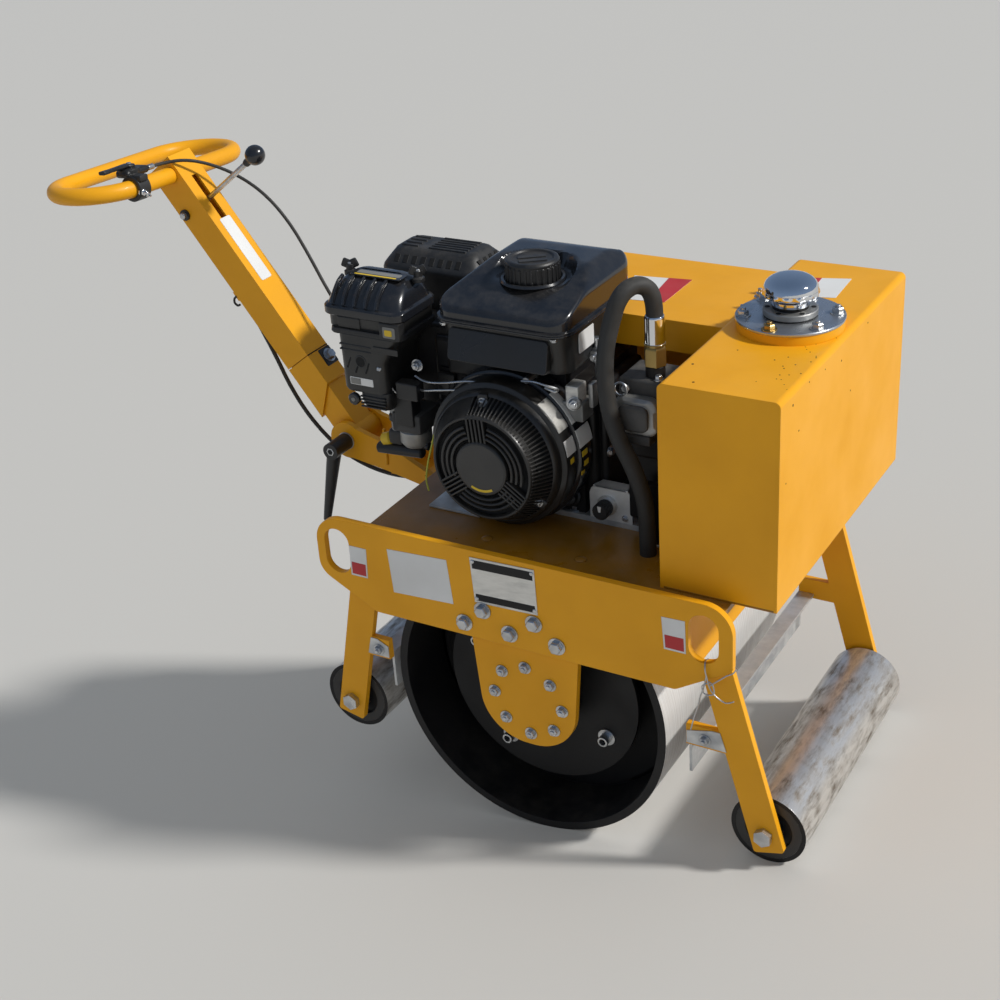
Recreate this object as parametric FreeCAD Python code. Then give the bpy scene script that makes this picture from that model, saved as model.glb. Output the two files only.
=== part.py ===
import FreeCAD, Part
import math
import os
from FreeCAD import Vector

# Walk-behind single-drum road roller.
# Each piece is drawn on a level machine, in millimetres: +X is forward, +Z is up, +Y is the
# left side, and the drum's axis is the Y axis. "Side" is -1 on the right and +1 on the left.
# The finished machine is then tipped about the drum until its front roller meets the ground,
# and lifted so that the ground is at z = 0 and the drum stands over the origin.

# Drum
drum_radius = 212.5
drum_width = 410.0
drum_wall = 12.0
drum_gap = 7.0                 # from the drum's rim to the side plate
web_thickness = 8.0
web_inset = 97.0               # from the rim to the web's outer face
web_hole_radius = 56.0
disc_inset = 45.0              # from the rim to the carrier disc's outer face
disc_thickness = 8.0
disc_radius = 150.0
disc_boss_radius = 40.0
disc_boss_length = 40.0
mount_radius = 21.0
mount_circle_radius = 115.0
mount_angles = (-30.0, 60.0, 150.0, 240.0)
spindle_radius = 20.0
bearing_clearance = 0.05
flange_radius = 62.0
flange_overlap = 6.0           # how far the flange stops short of the carrier disc
shaft_overlap = 4.0            # how far the shaft stops short of the boss's end

# Frame
plate_thickness = 10.0
plate_front = 315.0
plate_rear = -324.0
plate_rise = 10.0               # from the deck to the side plates' top
plate_height = 139.0
plate_corner_radius = 40.0
plate_front_radius = 6.0        # at the front end's lower corner
plate_rear_radius = 30.0        # at the rear end's lower corner
plate_heel_radius = 14.0
front_chamfer_start = 235.0
rear_chamfer_start = -232.0
chamfer_height = 49.0           # from the side plates' lower edge
front_slot_inset = 40.0         # from the side plates' front end to the slot's middle
rear_slot_inset = 34.5
slot_drop = 52.0                # from the side plates' top to the slots' middle
slot_width = 42.0
slot_height = 71.0
deck_clearance = 9.5            # from the drum to the deck
deck_thickness = 8.0
deck_rear = -245.0
deck_front_inset = 15.0         # from the side plates' front end
deck_lip = 34.0
cross_wall_inset = 75.0         # from the side plates' front end to the wall below the deck
cross_wall_thickness = 8.0
hanger_lap = 64.0               # how far a hanger reaches up behind the side plate
hanger_front_top = 93.0         # the hanger's edges, from the drum's axis
hanger_rear_top = 85.0
hanger_front = 74.0
hanger_rear = 66.0
hanger_drop = 64.0

# Legs, support rollers and scrapers
front_axle_x = 357.0
front_axle_z = -105.0
rear_axle_x = -303.0
rear_axle_z = -79.0
leg_width = 44.0
leg_lap = 49.0                  # how far a leg reaches up behind the side plate
leg_corner_radius = 4.0
leg_tail = 27.0                # from the axle to the leg's lower end
front_rake = 0.281             # forward run for each unit of drop
rear_rake = 0.213
roller_radius = 53.0
roller_wall = 6.0
roller_gap = 5.0
roller_plug_inset = 6.0
roller_plug_thickness = 12.0
roller_boss_radius = 20.0
axle_radius = 10.0
axle_head_radius = 13.0
axle_head_height = 9.0
bar_size = 24.0
bar_thickness = 4.0
bar_drop = 60.0
front_bar_gap = 33.0           # from the drum to the scraper's blade
rear_bar_gap = 12.0
front_bar_top = 20.0
rear_bar_top = 23.0
arm_height = 32.0
arm_rise = 24.0                # from the bar's top to the arm's top

# Tank
tank_rear = 201.0
tank_front = 360.0
tank_right = -190.0
tank_left = 278.0
tank_height = 287.0
tank_bend = 8.0
lid_x = 283.0
lid_y = 40.0
lid_ring_radius = 70.0
lid_ring_height = 12.0
lid_radius = 71.0
lid_thickness = 4.0
cap_flange_radius = 35.5
cap_flange_height = 10.0
cap_neck_radius = 20.5
cap_radius = 37.0
cap_height = 55.0
cap_skirt_gap = 19.0
cap_skirt_height = 8.0

# Drive covers on the left
cover_rear = -150.0
cover_right = 40.0
cover_left = 264.0
cover_rise = 70.0               # from the crankcase's top to the cover's top
cover_sheet = 4.0
cover_lip = 45.0
cover_gap = 0.3
guard_half_width = 92.0
guard_neck_half_width = 70.0
guard_rise = 70.0               # from the deck to the belt guard's top
guard_shoulder_run = 60.0       # from the neck to the guard's upper corners
guard_corner_radius = 12.0

# Engine
crank_x = -68.0
crank_height = 110.0            # from the deck to the crankshaft
engine_base_height = 8.0
engine_base_rear = -180.0
engine_base_front = 112.0
engine_base_right = -68.0
engine_base_left = 130.0
block_rear = -140.0
block_front = 28.0
block_right = -62.0
block_left = 112.0
block_height = 192.0
head_rear = -196.0
head_rise = 62.0                # from the engine's base to the cylinder head
head_height = 124.0
head_left = 102.0
pulley_gap = 4.0               # from the crankcase to the pulley
shaft_radius = 13.0
shaft_end_gap = 6.0            # from the pulley to the shaft's end
saddle_rear_inset = 26.0
saddle_front_inset = 40.0
pulley_radius = 52.0
pulley_width = 34.0
housing_radius = 113.0
housing_depth = 38.0
housing_floor_gap = 3.0        # from the engine's base to the housing's flat foot
recoil_radius = 107.0
recoil_depth = 28.0
recoil_cone_radius = 99.0      # where the cone starts on the rim
recoil_cone_depth = 44.0
recoil_nose_radius = 76.0
badge_radius = 38.0
badge_thickness = 4.0
fuel_rear = -150.0
fuel_front = 46.0
fuel_right = -136.0
fuel_left = 72.0
fuel_lower_left = 30.0         # the lower half stops short of the drive cover
fuel_lower_inset = 4.0
fuel_rise = 36.0               # from the crankcase's top to the fuel tank
fuel_lower_height = 62.0
fuel_corner = 26.0
fuel_seam_width = 5.0
fuel_seam_height = 6.0
fuel_right_wall = 14.0         # heights of the upper half's walls over the seam
fuel_left_wall = 44.0
fuel_rear_wall = 24.0
fuel_front_wall = 38.0
fuel_dome_height = 57.0
fuel_right_slope = 110.0       # runs of the slopes from the walls up to the flat top
fuel_left_slope = 30.0
fuel_rear_slope = 34.0
fuel_front_slope = 16.0
fuel_cap_x = -43.0
fuel_cap_y = -50.0
fuel_cap_radius = 37.0
fuel_cap_rise = 10.0           # from the flat top to the cap's top
cleaner_rear = -330.0
cleaner_front = -198.0
cleaner_right = -146.0
cleaner_left = -44.0
cleaner_body_height = 146.0
cleaner_cover_height = 50.0
cleaner_corner = 20.0
cleaner_step = 6.0             # from the cover's side to the body's
muffler_rear = -328.0
muffler_front = -166.0
muffler_right = 2.0
muffler_left = 104.0
muffler_rise = 28.0            # from the cylinder head to the muffler
muffler_height = 111.0
muffler_corner = 18.0
outlet_right = 26.0
outlet_left = 78.0
outlet_depth = 22.0
carburettor_y = -96.0
carburettor_rise = 40.0        # from the cylinder head's lower side
carburettor_height = 30.0
bowl_radius = 24.0
bowl_depth = 28.0

# Hydraulics
pump_rear = 96.0
pump_front = 186.0
pump_right = -86.0
pump_left = 26.0
pump_rise = 120.0              # from the deck to the pump
pump_height = 116.0
pump_foot_inset = 20.0
pump_foot_gap = 2.0
fitting_x = 140.0
fitting_y = -64.0
adapter_height = 16.0
nut_height = 26.0
ferrule_height = 42.0
adapter_radius = 13.0
nut_radius = 15.5
ferrule_radius = 13.5
hose_radius = 11.5

# Control bracket with its knob, at the engine base's right edge
control_rear = 38.0
control_front = 103.0
control_height = 44.0
control_sheet = 2.5
control_flange = 22.0
control_chamfer = 12.0
knob_x = 66.0
knob_rise = 24.0               # from the engine's base to the knob
knob_radius = 12.0
knob_length = 20.0
collar_radius = 14.5
collar_length = 6.0

# Handle
pivot_x = -393.0
pivot_rise = 30.0              # from the deck to the pivot
ear_radius = 29.0
ear_thickness = 9.0
ear_clearance = 1.5            # from the column to each ear
ear_end = -322.0
ear_blend = 2.0                # how far the arm's edges lie inside the round ear
end_plate_thickness = 8.0
end_plate_half_width = 42.0
end_plate_height = 32.0
bracket_web_thickness = 8.0
pin_radius = 10.0
pin_clearance = 0.05
pin_end = 8.0                  # from the ear to the pin's end inside the clamp lever
column_angle = 53.0
column_size = 50.0
column_wall = 4.0
column_start = 139.0           # distances up the column are from the pivot
column_end = 497.0
seam_gap = 1.3
sleeve_rear = 50.0
sleeve_front = 87.0
core_size = 41.4
core_end = 300.0
core_hub_radius = 24.0
column_slot_length = 78.0
column_slot_width = 12.0
column_slot_inset = 79.0       # from the column's end to the slot's middle
tab_centre = 276.0
tab_length = 16.0
tab_height = 15.0
tab_width = 24.0
clamp_hub_radius = 13.0
clamp_hub_length = 44.0
clamp_arm_top_radius = 11.5
clamp_arm_tip_radius = 6.0
clamp_arm_run = 30.0
clamp_arm_drop = 126.0
ring_back = 48.898             # from the column's end to the ring's centre
ring_drop = 19.922
ring_tilt = -4.0
ring_roll = -2.8
ring_length = 334.0            # along the tube's centreline
ring_depth = 137.0
ring_tube_radius = 12.7
lever_inset = 81.0             # from the column's end to the control lever
lever_pin_radius = 5.0
lever_pin_out = -14.0
lever_pin_head = 9.0
lever_pin_collar_radius = 6.5
ball_out = 146.0
ball_radius = 15.0
lever_rod_radius = 4.0
throttle_y = -100.0
throttle_width = 24.0
throttle_clamp_radius = 19.0
clamp_clearance = 0.05
throttle_body_start = -122.0
throttle_body_end = -64.0
throttle_body_depth = 30.0
throttle_body_low = 13.0
throttle_body_high = 29.0
throttle_cable_radius = 2.5
control_cable_radius = 3.2
control_cable_y = -10.0

half_drum = drum_width / 2
plate_inner = half_drum + drum_gap
plate_outer = plate_inner + plate_thickness
inner_layer = plate_inner - plate_thickness
deck_top = drum_radius + deck_clearance + deck_thickness
plate_top = deck_top + plate_rise
plate_bottom = plate_top - plate_height
chamfer_top = plate_bottom + chamfer_height
front_slot_x = plate_front - front_slot_inset
rear_slot_x = plate_rear + rear_slot_inset
slot_z = plate_top - slot_drop
hanger_top = plate_bottom + hanger_lap
leg_top = plate_bottom + leg_lap
tank_top = deck_top + tank_height
lid_base = tank_top + lid_ring_height
lid_top = lid_base + lid_thickness
guard_top = deck_top + guard_rise
engine_floor = deck_top + engine_base_height
crank_z = deck_top + crank_height
block_top = engine_floor + block_height
housing_face = block_right - housing_depth
head_bottom = engine_floor + head_rise
head_top = head_bottom + head_height
cover_top = block_top + cover_rise
fuel_bottom = block_top + fuel_rise
fuel_seam = fuel_bottom + fuel_lower_height
fuel_deck = fuel_seam + fuel_seam_height
fuel_top = fuel_deck + fuel_dome_height
carburettor_bottom = head_bottom + carburettor_rise
cleaner_bottom = carburettor_bottom + carburettor_height
cleaner_seam = cleaner_bottom + cleaner_body_height
cleaner_top = cleaner_seam + cleaner_cover_height
muffler_bottom = head_top + muffler_rise
muffler_top = muffler_bottom + muffler_height
pump_bottom = deck_top + pump_rise
pump_top = pump_bottom + pump_height
adapter_top = pump_top + adapter_height
nut_top = adapter_top + nut_height
ferrule_top = nut_top + ferrule_height
knob_z = engine_floor + knob_rise
pivot_z = deck_top + pivot_rise
column_slot_centre = column_end - column_slot_inset
lever_distance = column_end - lever_inset
ring_x = pivot_x - column_end * math.cos(math.radians(column_angle)) - ring_back
ring_z = pivot_z + column_end * math.sin(math.radians(column_angle)) - ring_drop
roller_half = inner_layer - roller_gap


def box(x0, x1, y0, y1, z0, z1):
    corner = Vector(min(x0, x1), min(y0, y1), min(z0, z1))
    return Part.makeBox(abs(x1 - x0), abs(y1 - y0), abs(z1 - z0), corner)


def rod(start, end, radius):
    """A round bar between two points."""
    a = Vector(*start)
    along = Vector(*end) - a
    return Part.makeCylinder(radius, along.Length, a, along)


def disc(x, z, radius, y0, y1):
    """A round bar along Y."""
    return rod((x, min(y0, y1), z), (x, max(y0, y1), z), radius)


def ring_wire(points, place):
    """A closed wire through corners (u, v, corner radius), with an arc at each rounded one."""
    count = len(points)
    edges = []
    ends = []
    for i in range(count):
        u, v, radius = points[i]
        here = Vector(u, v, 0)
        before = Vector(points[i - 1][0], points[i - 1][1], 0) - here
        after = Vector(points[(i + 1) % count][0], points[(i + 1) % count][1], 0) - here
        if radius <= 0:
            ends.append((here, None, here))
            continue
        half = before.getAngle(after) / 2
        reach = radius / math.tan(half)
        first = here + before.normalize() * reach
        last = here + after.normalize() * reach
        bisector = (before + after).normalize()
        middle = here + bisector * (radius / math.sin(half) - radius)
        ends.append((first, middle, last))
    for i in range(count):
        first, middle, last = ends[i]
        if middle is not None:
            edges.append(Part.Arc(place(first), place(middle), place(last)).toShape())
        following = ends[(i + 1) % count][0]
        if (following - last).Length > 1e-6:
            edges.append(Part.LineSegment(place(last), place(following)).toShape())
    return Part.Wire(edges)


def side_profile(points, y0, y1):
    """A sheet or block whose outline (x, z, corner radius) is seen from the side."""
    low = min(y0, y1)
    wire = ring_wire(points, lambda p: Vector(p.x, low, p.y))
    return Part.Face(wire).extrude(Vector(0, abs(y1 - y0), 0))


def plan_profile(points, z0, z1):
    """A block whose outline (x, y, corner radius) is seen from above."""
    wire = ring_wire(points, lambda p: Vector(p.x, p.y, z0))
    return Part.Face(wire).extrude(Vector(0, 0, z1 - z0))


def end_profile(points, x0, x1):
    """A block whose outline (y, z, corner radius) is seen from the front."""
    wire = ring_wire(points, lambda p: Vector(x0, p.x, p.y))
    return Part.Face(wire).extrude(Vector(x1 - x0, 0, 0))


def hexagon(x, z, radius, y0, y1):
    """A hexagonal bolt head along Y."""
    corners = [(x + radius * math.cos(math.radians(60 * i + 30)),
                z + radius * math.sin(math.radians(60 * i + 30)), 0) for i in range(6)]
    return side_profile(corners, y0, y1)


def sweep(points, radius, bend_share=0.45):
    """A round tube along straight runs joined by tangent arcs as large as the runs allow."""
    route = [Vector(*p) for p in points]
    edges = []
    last = route[0]
    radii = []
    for i in range(1, len(route) - 1):
        back = route[i - 1] - route[i]
        ahead = route[i + 1] - route[i]
        turn = math.pi - back.getAngle(ahead)
        reach = bend_share * min(back.Length, ahead.Length)
        bend = reach / math.tan(turn / 2)
        radii.append(round(bend, 1))
        first = route[i] + back.normalize() * reach
        after = route[i] + ahead.normalize() * reach
        bisector = (back + ahead).normalize()
        middle = route[i] + bisector * (bend / math.cos(turn / 2) - bend)
        edges.append(Part.LineSegment(last, first).toShape())
        edges.append(Part.Arc(first, middle, after).toShape())
        last = after
    edges.append(Part.LineSegment(last, route[-1]).toShape())
    path = Part.Wire(edges)
    section = Part.Wire(Part.Circle(route[0], route[1] - route[0], radius).toShape())
    tube = path.makePipeShell([section], True, False)
    print("tube of radius", radius, "length", round(path.Length), "bends", radii)
    return tube


leg_reach = math.hypot(front_axle_x, front_axle_z)
tip_angle = math.degrees(math.asin((drum_radius - roller_radius) / leg_reach)
                         - math.atan2(-front_axle_z, front_axle_x))
stance = FreeCAD.Placement(Vector(0, 0, drum_radius), FreeCAD.Rotation(Vector(0, 1, 0), tip_angle))


def save(name, shape):
    placed = shape.copy()
    placed.Placement = stance.multiply(placed.Placement)
    placed.exportStep("parts/" + name + ".step")
    volume = round(placed.Volume / 1000, 1)
    print(name, "solids", len(placed.Solids), "valid", placed.isValid(), "cm3", volume)


def pair(maker):
    """The same piece at the right and at the left, as solids that share a node."""
    return Part.makeCompound([maker(-1), maker(1)])


os.makedirs("parts", exist_ok=True)
SIDES = (("right", -1), ("left", 1))


# Side plates, deck and drum hangers
def side_plate(side):
    outline = [
        (plate_rear, plate_top, plate_corner_radius),
        (plate_front, plate_top, plate_corner_radius),
        (plate_front, chamfer_top, plate_front_radius),
        (front_chamfer_start, plate_bottom, plate_heel_radius),
        (rear_chamfer_start, plate_bottom, plate_heel_radius),
        (plate_rear, chamfer_top, plate_rear_radius),
    ]
    plate = side_profile(outline, side * plate_inner, side * plate_outer)
    for x in (front_slot_x, rear_slot_x):
        corners = [(x + a * slot_width / 2, slot_z + b * slot_height / 2, slot_width / 2 - 0.01)
                   for a, b in ((-1, -1), (1, -1), (1, 1), (-1, 1))]
        plate = plate.cut(side_profile(corners, side * (plate_inner - 1), side * (plate_outer + 1)))
    return plate


def deck():
    front_edge = plate_front - deck_front_inset
    sheet = box(deck_rear, front_edge, -plate_inner, plate_inner, deck_top - deck_thickness, deck_top)
    lip = box(deck_rear, deck_rear + deck_thickness, -plate_inner, plate_inner, deck_top - deck_lip, deck_top)
    return sheet.fuse(lip).removeSplitter()


def cross_wall():
    """The upright wall under the deck, between the side plates and in front of the drum."""
    front = plate_front - cross_wall_inset
    return box(front - cross_wall_thickness, front, -plate_inner, plate_inner,
               plate_bottom, deck_top - deck_thickness)


def hanger(side):
    """A plate beside the drum's end that narrows to a round foot about the drum's axis."""
    foot = (hanger_front + hanger_rear) / 2
    outline = [
        (-hanger_rear_top, hanger_top, 0),
        (-hanger_rear, -hanger_drop, foot),
        (hanger_front, -hanger_drop, foot),
        (hanger_front_top, hanger_top, 0),
    ]
    return side_profile(outline, side * inner_layer, side * plate_inner)


def spindle(side):
    flange_end = half_drum - disc_inset + flange_overlap
    shaft_end = half_drum - disc_inset - disc_thickness - disc_boss_length + shaft_overlap
    housing = disc(0, 0, flange_radius, side * inner_layer, side * flange_end)
    return housing.fuse(disc(0, 0, spindle_radius, side * inner_layer, side * shaft_end))


for word, side in SIDES:
    save("side_plate_" + word, side_plate(side))
save("drum_hangers", pair(hanger))
save("drum_spindles", pair(spindle))
save("deck_plate", deck())
save("cross_wall", cross_wall())


# Drum
def drum_shell():
    outer = disc(0, 0, drum_radius, -half_drum, half_drum)
    return outer.cut(disc(0, 0, drum_radius - drum_wall, -half_drum - 1, half_drum + 1))


def drum_web(side):
    face = half_drum - web_inset
    web = disc(0, 0, drum_radius - drum_wall, side * face, side * (face - web_thickness))
    return web.cut(disc(0, 0, web_hole_radius, side * (face + 1), side * (face - web_thickness - 1)))


def carrier_disc(side):
    face = half_drum - disc_inset
    plate = disc(0, 0, disc_radius, side * face, side * (face - disc_thickness))
    boss_end = face - disc_thickness - disc_boss_length
    plate = plate.fuse(disc(0, 0, disc_boss_radius, side * face, side * boss_end))
    return plate.cut(disc(0, 0, spindle_radius + bearing_clearance, side * (face + 1), side * (boss_end - 1)))


def rubber_mounts(side):
    face = half_drum - disc_inset - disc_thickness
    back = half_drum - web_inset
    pads = []
    for angle in mount_angles:
        x = mount_circle_radius * math.cos(math.radians(angle))
        z = mount_circle_radius * math.sin(math.radians(angle))
        pads.append(disc(x, z, mount_radius, side * face, side * back))
    return Part.makeCompound(pads)


save("drum_shell", drum_shell())
save("drum_webs", pair(drum_web))
save("carrier_discs", pair(carrier_disc))
save("rubber_mounts", pair(rubber_mounts))


# Legs, support rollers and scrapers
def leg(side, axle_x, axle_z, rake, forward):
    """A raked flat bar from behind the side plate down past the roller's axle."""
    slope = forward * rake
    tilt = math.hypot(1, slope)
    down = (slope / tilt, -1 / tilt)
    across = (1 / tilt, slope / tilt)
    top_run = (leg_top - axle_z) * tilt
    corners = []
    for along, wide, radius in ((-top_run, -1, 0), (-top_run, 1, 0),
                                (leg_tail, 1, leg_corner_radius), (leg_tail, -1, leg_corner_radius)):
        x = axle_x + down[0] * along + across[0] * wide * leg_width / 2
        z = axle_z + down[1] * along + across[1] * wide * leg_width / 2
        corners.append((x, z, radius))
    bar = side_profile(corners, side * inner_layer, side * plate_inner)
    return bar.cut(disc(axle_x, axle_z, axle_radius, side * (inner_layer - 1), side * (plate_inner + 1)))


def scraper_bar(bar_top, bar_gap, forward):
    """An angle section across the machine, its blade towards the drum."""
    near = forward * (drum_radius + bar_gap)
    far = near + forward * bar_size
    blade = box(near, near + forward * bar_thickness, -inner_layer, inner_layer, bar_top - bar_drop, bar_top)
    return blade.fuse(box(near, far, -inner_layer, inner_layer, bar_top - bar_thickness, bar_top))


def scraper_arm(side, axle_x, axle_z, rake, bar_top, bar_gap, forward):
    """A flat strip in the legs' layer, from the leg's edge to the end of the scraper bar."""
    top = bar_top + arm_rise
    bottom = top - arm_height
    near = forward * (drum_radius + bar_gap)

    def edge(z):
        return axle_x + forward * rake * (axle_z - z) - forward * leg_width / 2

    corners = [(near, bottom, 0), (near, top, 0), (edge(top), top, 0), (edge(bottom), bottom, 0)]
    return side_profile(corners, side * inner_layer, side * plate_inner)


def support_roller(axle_x, axle_z):
    tube = disc(axle_x, axle_z, roller_radius, -roller_half, roller_half)
    return tube.cut(disc(axle_x, axle_z, roller_radius - roller_wall, -roller_half - 1, roller_half + 1))


def roller_ends(axle_x, axle_z):
    plugs = []
    for side in (-1, 1):
        outer = roller_half - roller_plug_inset
        inner = outer - roller_plug_thickness
        plug = disc(axle_x, axle_z, roller_radius - roller_wall, side * outer, side * inner)
        plug = plug.fuse(disc(axle_x, axle_z, roller_boss_radius, side * roller_half, side * (outer - 1)))
        bore_radius = axle_radius + bearing_clearance
        bore = disc(axle_x, axle_z, bore_radius, side * (roller_half + 1), side * (inner - 1))
        plugs.append(plug.cut(bore))
    return Part.makeCompound(plugs)


def roller_axle(axle_x, axle_z):
    axle = disc(axle_x, axle_z, axle_radius, -plate_inner, plate_inner)
    for side in (-1, 1):
        axle = axle.fuse(hexagon(axle_x, axle_z, axle_head_radius, side * plate_inner,
                                 side * (plate_inner + axle_head_height)))
    return axle


END_SETS = (
    # name, axle x, axle z, rake, bar top, bar gap, direction
    ("front", front_axle_x, front_axle_z, front_rake, front_bar_top, front_bar_gap, 1),
    ("rear", rear_axle_x, rear_axle_z, rear_rake, rear_bar_top, rear_bar_gap, -1),
)
for end, x, z, rake, bar_top, bar_gap, forward in END_SETS:
    legs = []
    for side in (-1, 1):
        arm = scraper_arm(side, x, z, rake, bar_top, bar_gap, forward)
        legs.append(leg(side, x, z, rake, forward).fuse(arm).removeSplitter())
    save(end + "_legs", Part.makeCompound(legs))
    save(end + "_scraper", scraper_bar(bar_top, bar_gap, forward).removeSplitter())
    save(end + "_roller", support_roller(x, z))
    save(end + "_roller_ends", roller_ends(x, z))
    save(end + "_axle", roller_axle(x, z))


# Tank, lid and breather
def tank():
    """A box with its top bent down at the front and the rear, notched over the left side plate."""
    body = box(tank_rear, tank_front, tank_right, tank_left, deck_top, tank_top)
    bends = [e for e in body.Edges if e.BoundBox.ZMin > tank_top - 1 and e.BoundBox.YLength > tank_bend]
    body = body.makeFillet(tank_bend, bends)
    return body.cut(box(tank_rear - 1, plate_front, plate_inner, plate_outer, deck_top - 1, plate_top))


def lid_disc(low, high, radius):
    return rod((lid_x, lid_y, low), (lid_x, lid_y, high), radius)


def tank_lid():
    return lid_disc(tank_top, lid_base, lid_ring_radius).fuse(lid_disc(lid_base, lid_top, lid_radius))


def breather_cap():
    """A flange, a neck and a domed cap whose skirt stands off the flange."""
    flange_top = lid_top + cap_flange_height
    skirt = flange_top + cap_skirt_gap
    shoulder = skirt + cap_skirt_height
    dome_height = cap_height - shoulder + lid_top
    dome_radius = (cap_radius ** 2 + dome_height ** 2) / (2 * dome_height)
    dome = Part.makeSphere(dome_radius, Vector(lid_x, lid_y, shoulder + dome_height - dome_radius))
    dome = dome.common(lid_disc(shoulder, shoulder + dome_height + 1, cap_radius))
    cap = lid_disc(lid_top, flange_top, cap_flange_radius).fuse(lid_disc(lid_top, skirt, cap_neck_radius))
    return cap.fuse(lid_disc(skirt, shoulder, cap_radius)).fuse(dome).removeSplitter()


save("oil_tank", tank())
save("tank_lid", tank_lid())
save("breather_cap", breather_cap())


# Drive cover over the belt, and its guard outside the left side plate
def drive_cover():
    """A folded sheet: top, short lip towards the engine, and the walls at the left and the rear."""
    floor = guard_top + cover_gap
    outer = box(cover_rear, tank_rear - cover_gap, cover_right, cover_left, floor, cover_top)
    inner = box(cover_rear + cover_sheet, tank_rear + 1, cover_right + cover_sheet, cover_left - cover_sheet,
                floor - 1, cover_top - cover_sheet)
    below_lip = box(cover_rear - 1, tank_rear + 1, cover_right - 1, cover_right + cover_sheet + 1,
                    floor - 1, cover_top - cover_lip)
    rear_way = box(cover_rear - 1, cover_rear + cover_sheet + 1, cover_right - 1, plate_inner,
                   floor - 1, cover_top - cover_lip)
    return outer.cut(inner).cut(below_lip).cut(rear_way)


def belt_guard():
    outline = [
        (-guard_neck_half_width - guard_shoulder_run, guard_top, guard_corner_radius),
        (-guard_half_width, -guard_half_width, guard_half_width - 0.5),
        (guard_half_width, -guard_half_width, guard_half_width - 0.5),
        (guard_neck_half_width + guard_shoulder_run, guard_top, guard_corner_radius),
    ]
    return side_profile(outline, plate_outer, cover_left)


save("drive_cover", drive_cover())
save("belt_guard", belt_guard())


# Engine
def engine_base():
    return box(engine_base_rear, engine_base_front, engine_base_right, engine_base_left,
               deck_top, engine_floor)


def engine_block():
    """Crankcase and cylinder as plain blocks, with the fuel tank's saddle and the output shaft."""
    block = box(block_rear, block_front, block_right, block_left, engine_floor, block_top)
    head = box(head_rear, block_rear, block_right, head_left, head_bottom, head_top)
    saddle = box(fuel_rear + saddle_rear_inset, fuel_front - saddle_front_inset, block_right, fuel_lower_left,
                 block_top, fuel_bottom)
    shaft = disc(crank_x, crank_z, shaft_radius, block_left, block_left + pulley_width + shaft_end_gap)
    return block.fuse(head).fuse(saddle).fuse(shaft).removeSplitter()


def engine_pulley():
    start = block_left + pulley_gap
    wheel = disc(crank_x, crank_z, pulley_radius, start, start + pulley_width)
    return wheel.cut(disc(crank_x, crank_z, shaft_radius, start - 1, start + pulley_width + 1))


def blower_housing():
    """A round housing about the crankshaft, cut flat over the engine's base."""
    housing = disc(crank_x, crank_z, housing_radius, housing_face, block_right)
    below = box(crank_x - housing_radius, crank_x + housing_radius, housing_face - 1, block_right + 1,
                crank_z - housing_radius - 1, engine_floor + housing_floor_gap)
    return housing.cut(below)


def recoil_starter():
    """A rim on the blower housing, a cone that stands out of it and the badge on the cone."""
    rim_face = housing_face - recoil_depth
    nose = rim_face - recoil_cone_depth
    rim = disc(crank_x, crank_z, recoil_radius, housing_face, rim_face)
    cone = Part.makeCone(recoil_cone_radius, recoil_nose_radius, recoil_cone_depth,
                         Vector(crank_x, rim_face, crank_z), Vector(0, -1, 0))
    badge = disc(crank_x, crank_z, badge_radius, nose, nose - badge_thickness)
    return rim.fuse(cone).fuse(badge).removeSplitter()


def fuel_tank():
    """Two pressed halves with a seam flange between them; the upper one slopes up to a flat top."""
    grow = fuel_seam_width
    inset = fuel_lower_inset
    lower = rounded_block(fuel_rear + inset, fuel_front - inset, fuel_right + inset, fuel_lower_left,
                          fuel_bottom, fuel_seam, fuel_corner - inset)
    seam = rounded_block(fuel_rear - grow, fuel_front + grow, fuel_right - grow, fuel_left + grow,
                         fuel_seam, fuel_deck, fuel_corner + grow)
    upper = rounded_block(fuel_rear, fuel_front, fuel_right, fuel_left, fuel_deck, fuel_top, fuel_corner)
    from_side = side_profile([
        (fuel_rear - 1, fuel_deck, 0),
        (fuel_front + 1, fuel_deck, 0),
        (fuel_front + 1, fuel_deck + fuel_front_wall, 0),
        (fuel_front - fuel_front_slope, fuel_top, 0),
        (fuel_rear + fuel_rear_slope, fuel_top, 0),
        (fuel_rear - 1, fuel_deck + fuel_rear_wall, 0),
    ], fuel_right - 1, fuel_left + 1)
    from_front = end_profile([
        (fuel_right - 1, fuel_deck, 0),
        (fuel_left + 1, fuel_deck, 0),
        (fuel_left + 1, fuel_deck + fuel_left_wall, 0),
        (fuel_left - fuel_left_slope, fuel_top, 0),
        (fuel_right + fuel_right_slope, fuel_top, 0),
        (fuel_right - 1, fuel_deck + fuel_right_wall, 0),
    ], fuel_rear - 1, fuel_front + 1)
    return lower.fuse(seam).fuse(upper.common(from_side).common(from_front)).removeSplitter()


def fuel_cap():
    """A round cap that stands on the tank's sloping top."""
    cap_top = fuel_top + fuel_cap_rise
    cap = rod((fuel_cap_x, fuel_cap_y, fuel_deck + 1), (fuel_cap_x, fuel_cap_y, cap_top), fuel_cap_radius)
    return cap.cut(fuel_tank())


def rounded_block(x0, x1, y0, y1, z0, z1, radius):
    """A block with rounded upright edges."""
    corners = [(x0, y0, radius), (x1, y0, radius), (x1, y1, radius), (x0, y1, radius)]
    return plan_profile(corners, z0, z1)


def air_cleaner_body():
    return rounded_block(cleaner_rear + cleaner_step, cleaner_front - cleaner_step,
                         cleaner_right + cleaner_step, cleaner_left,
                         cleaner_bottom, cleaner_seam, cleaner_corner - cleaner_step)


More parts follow.
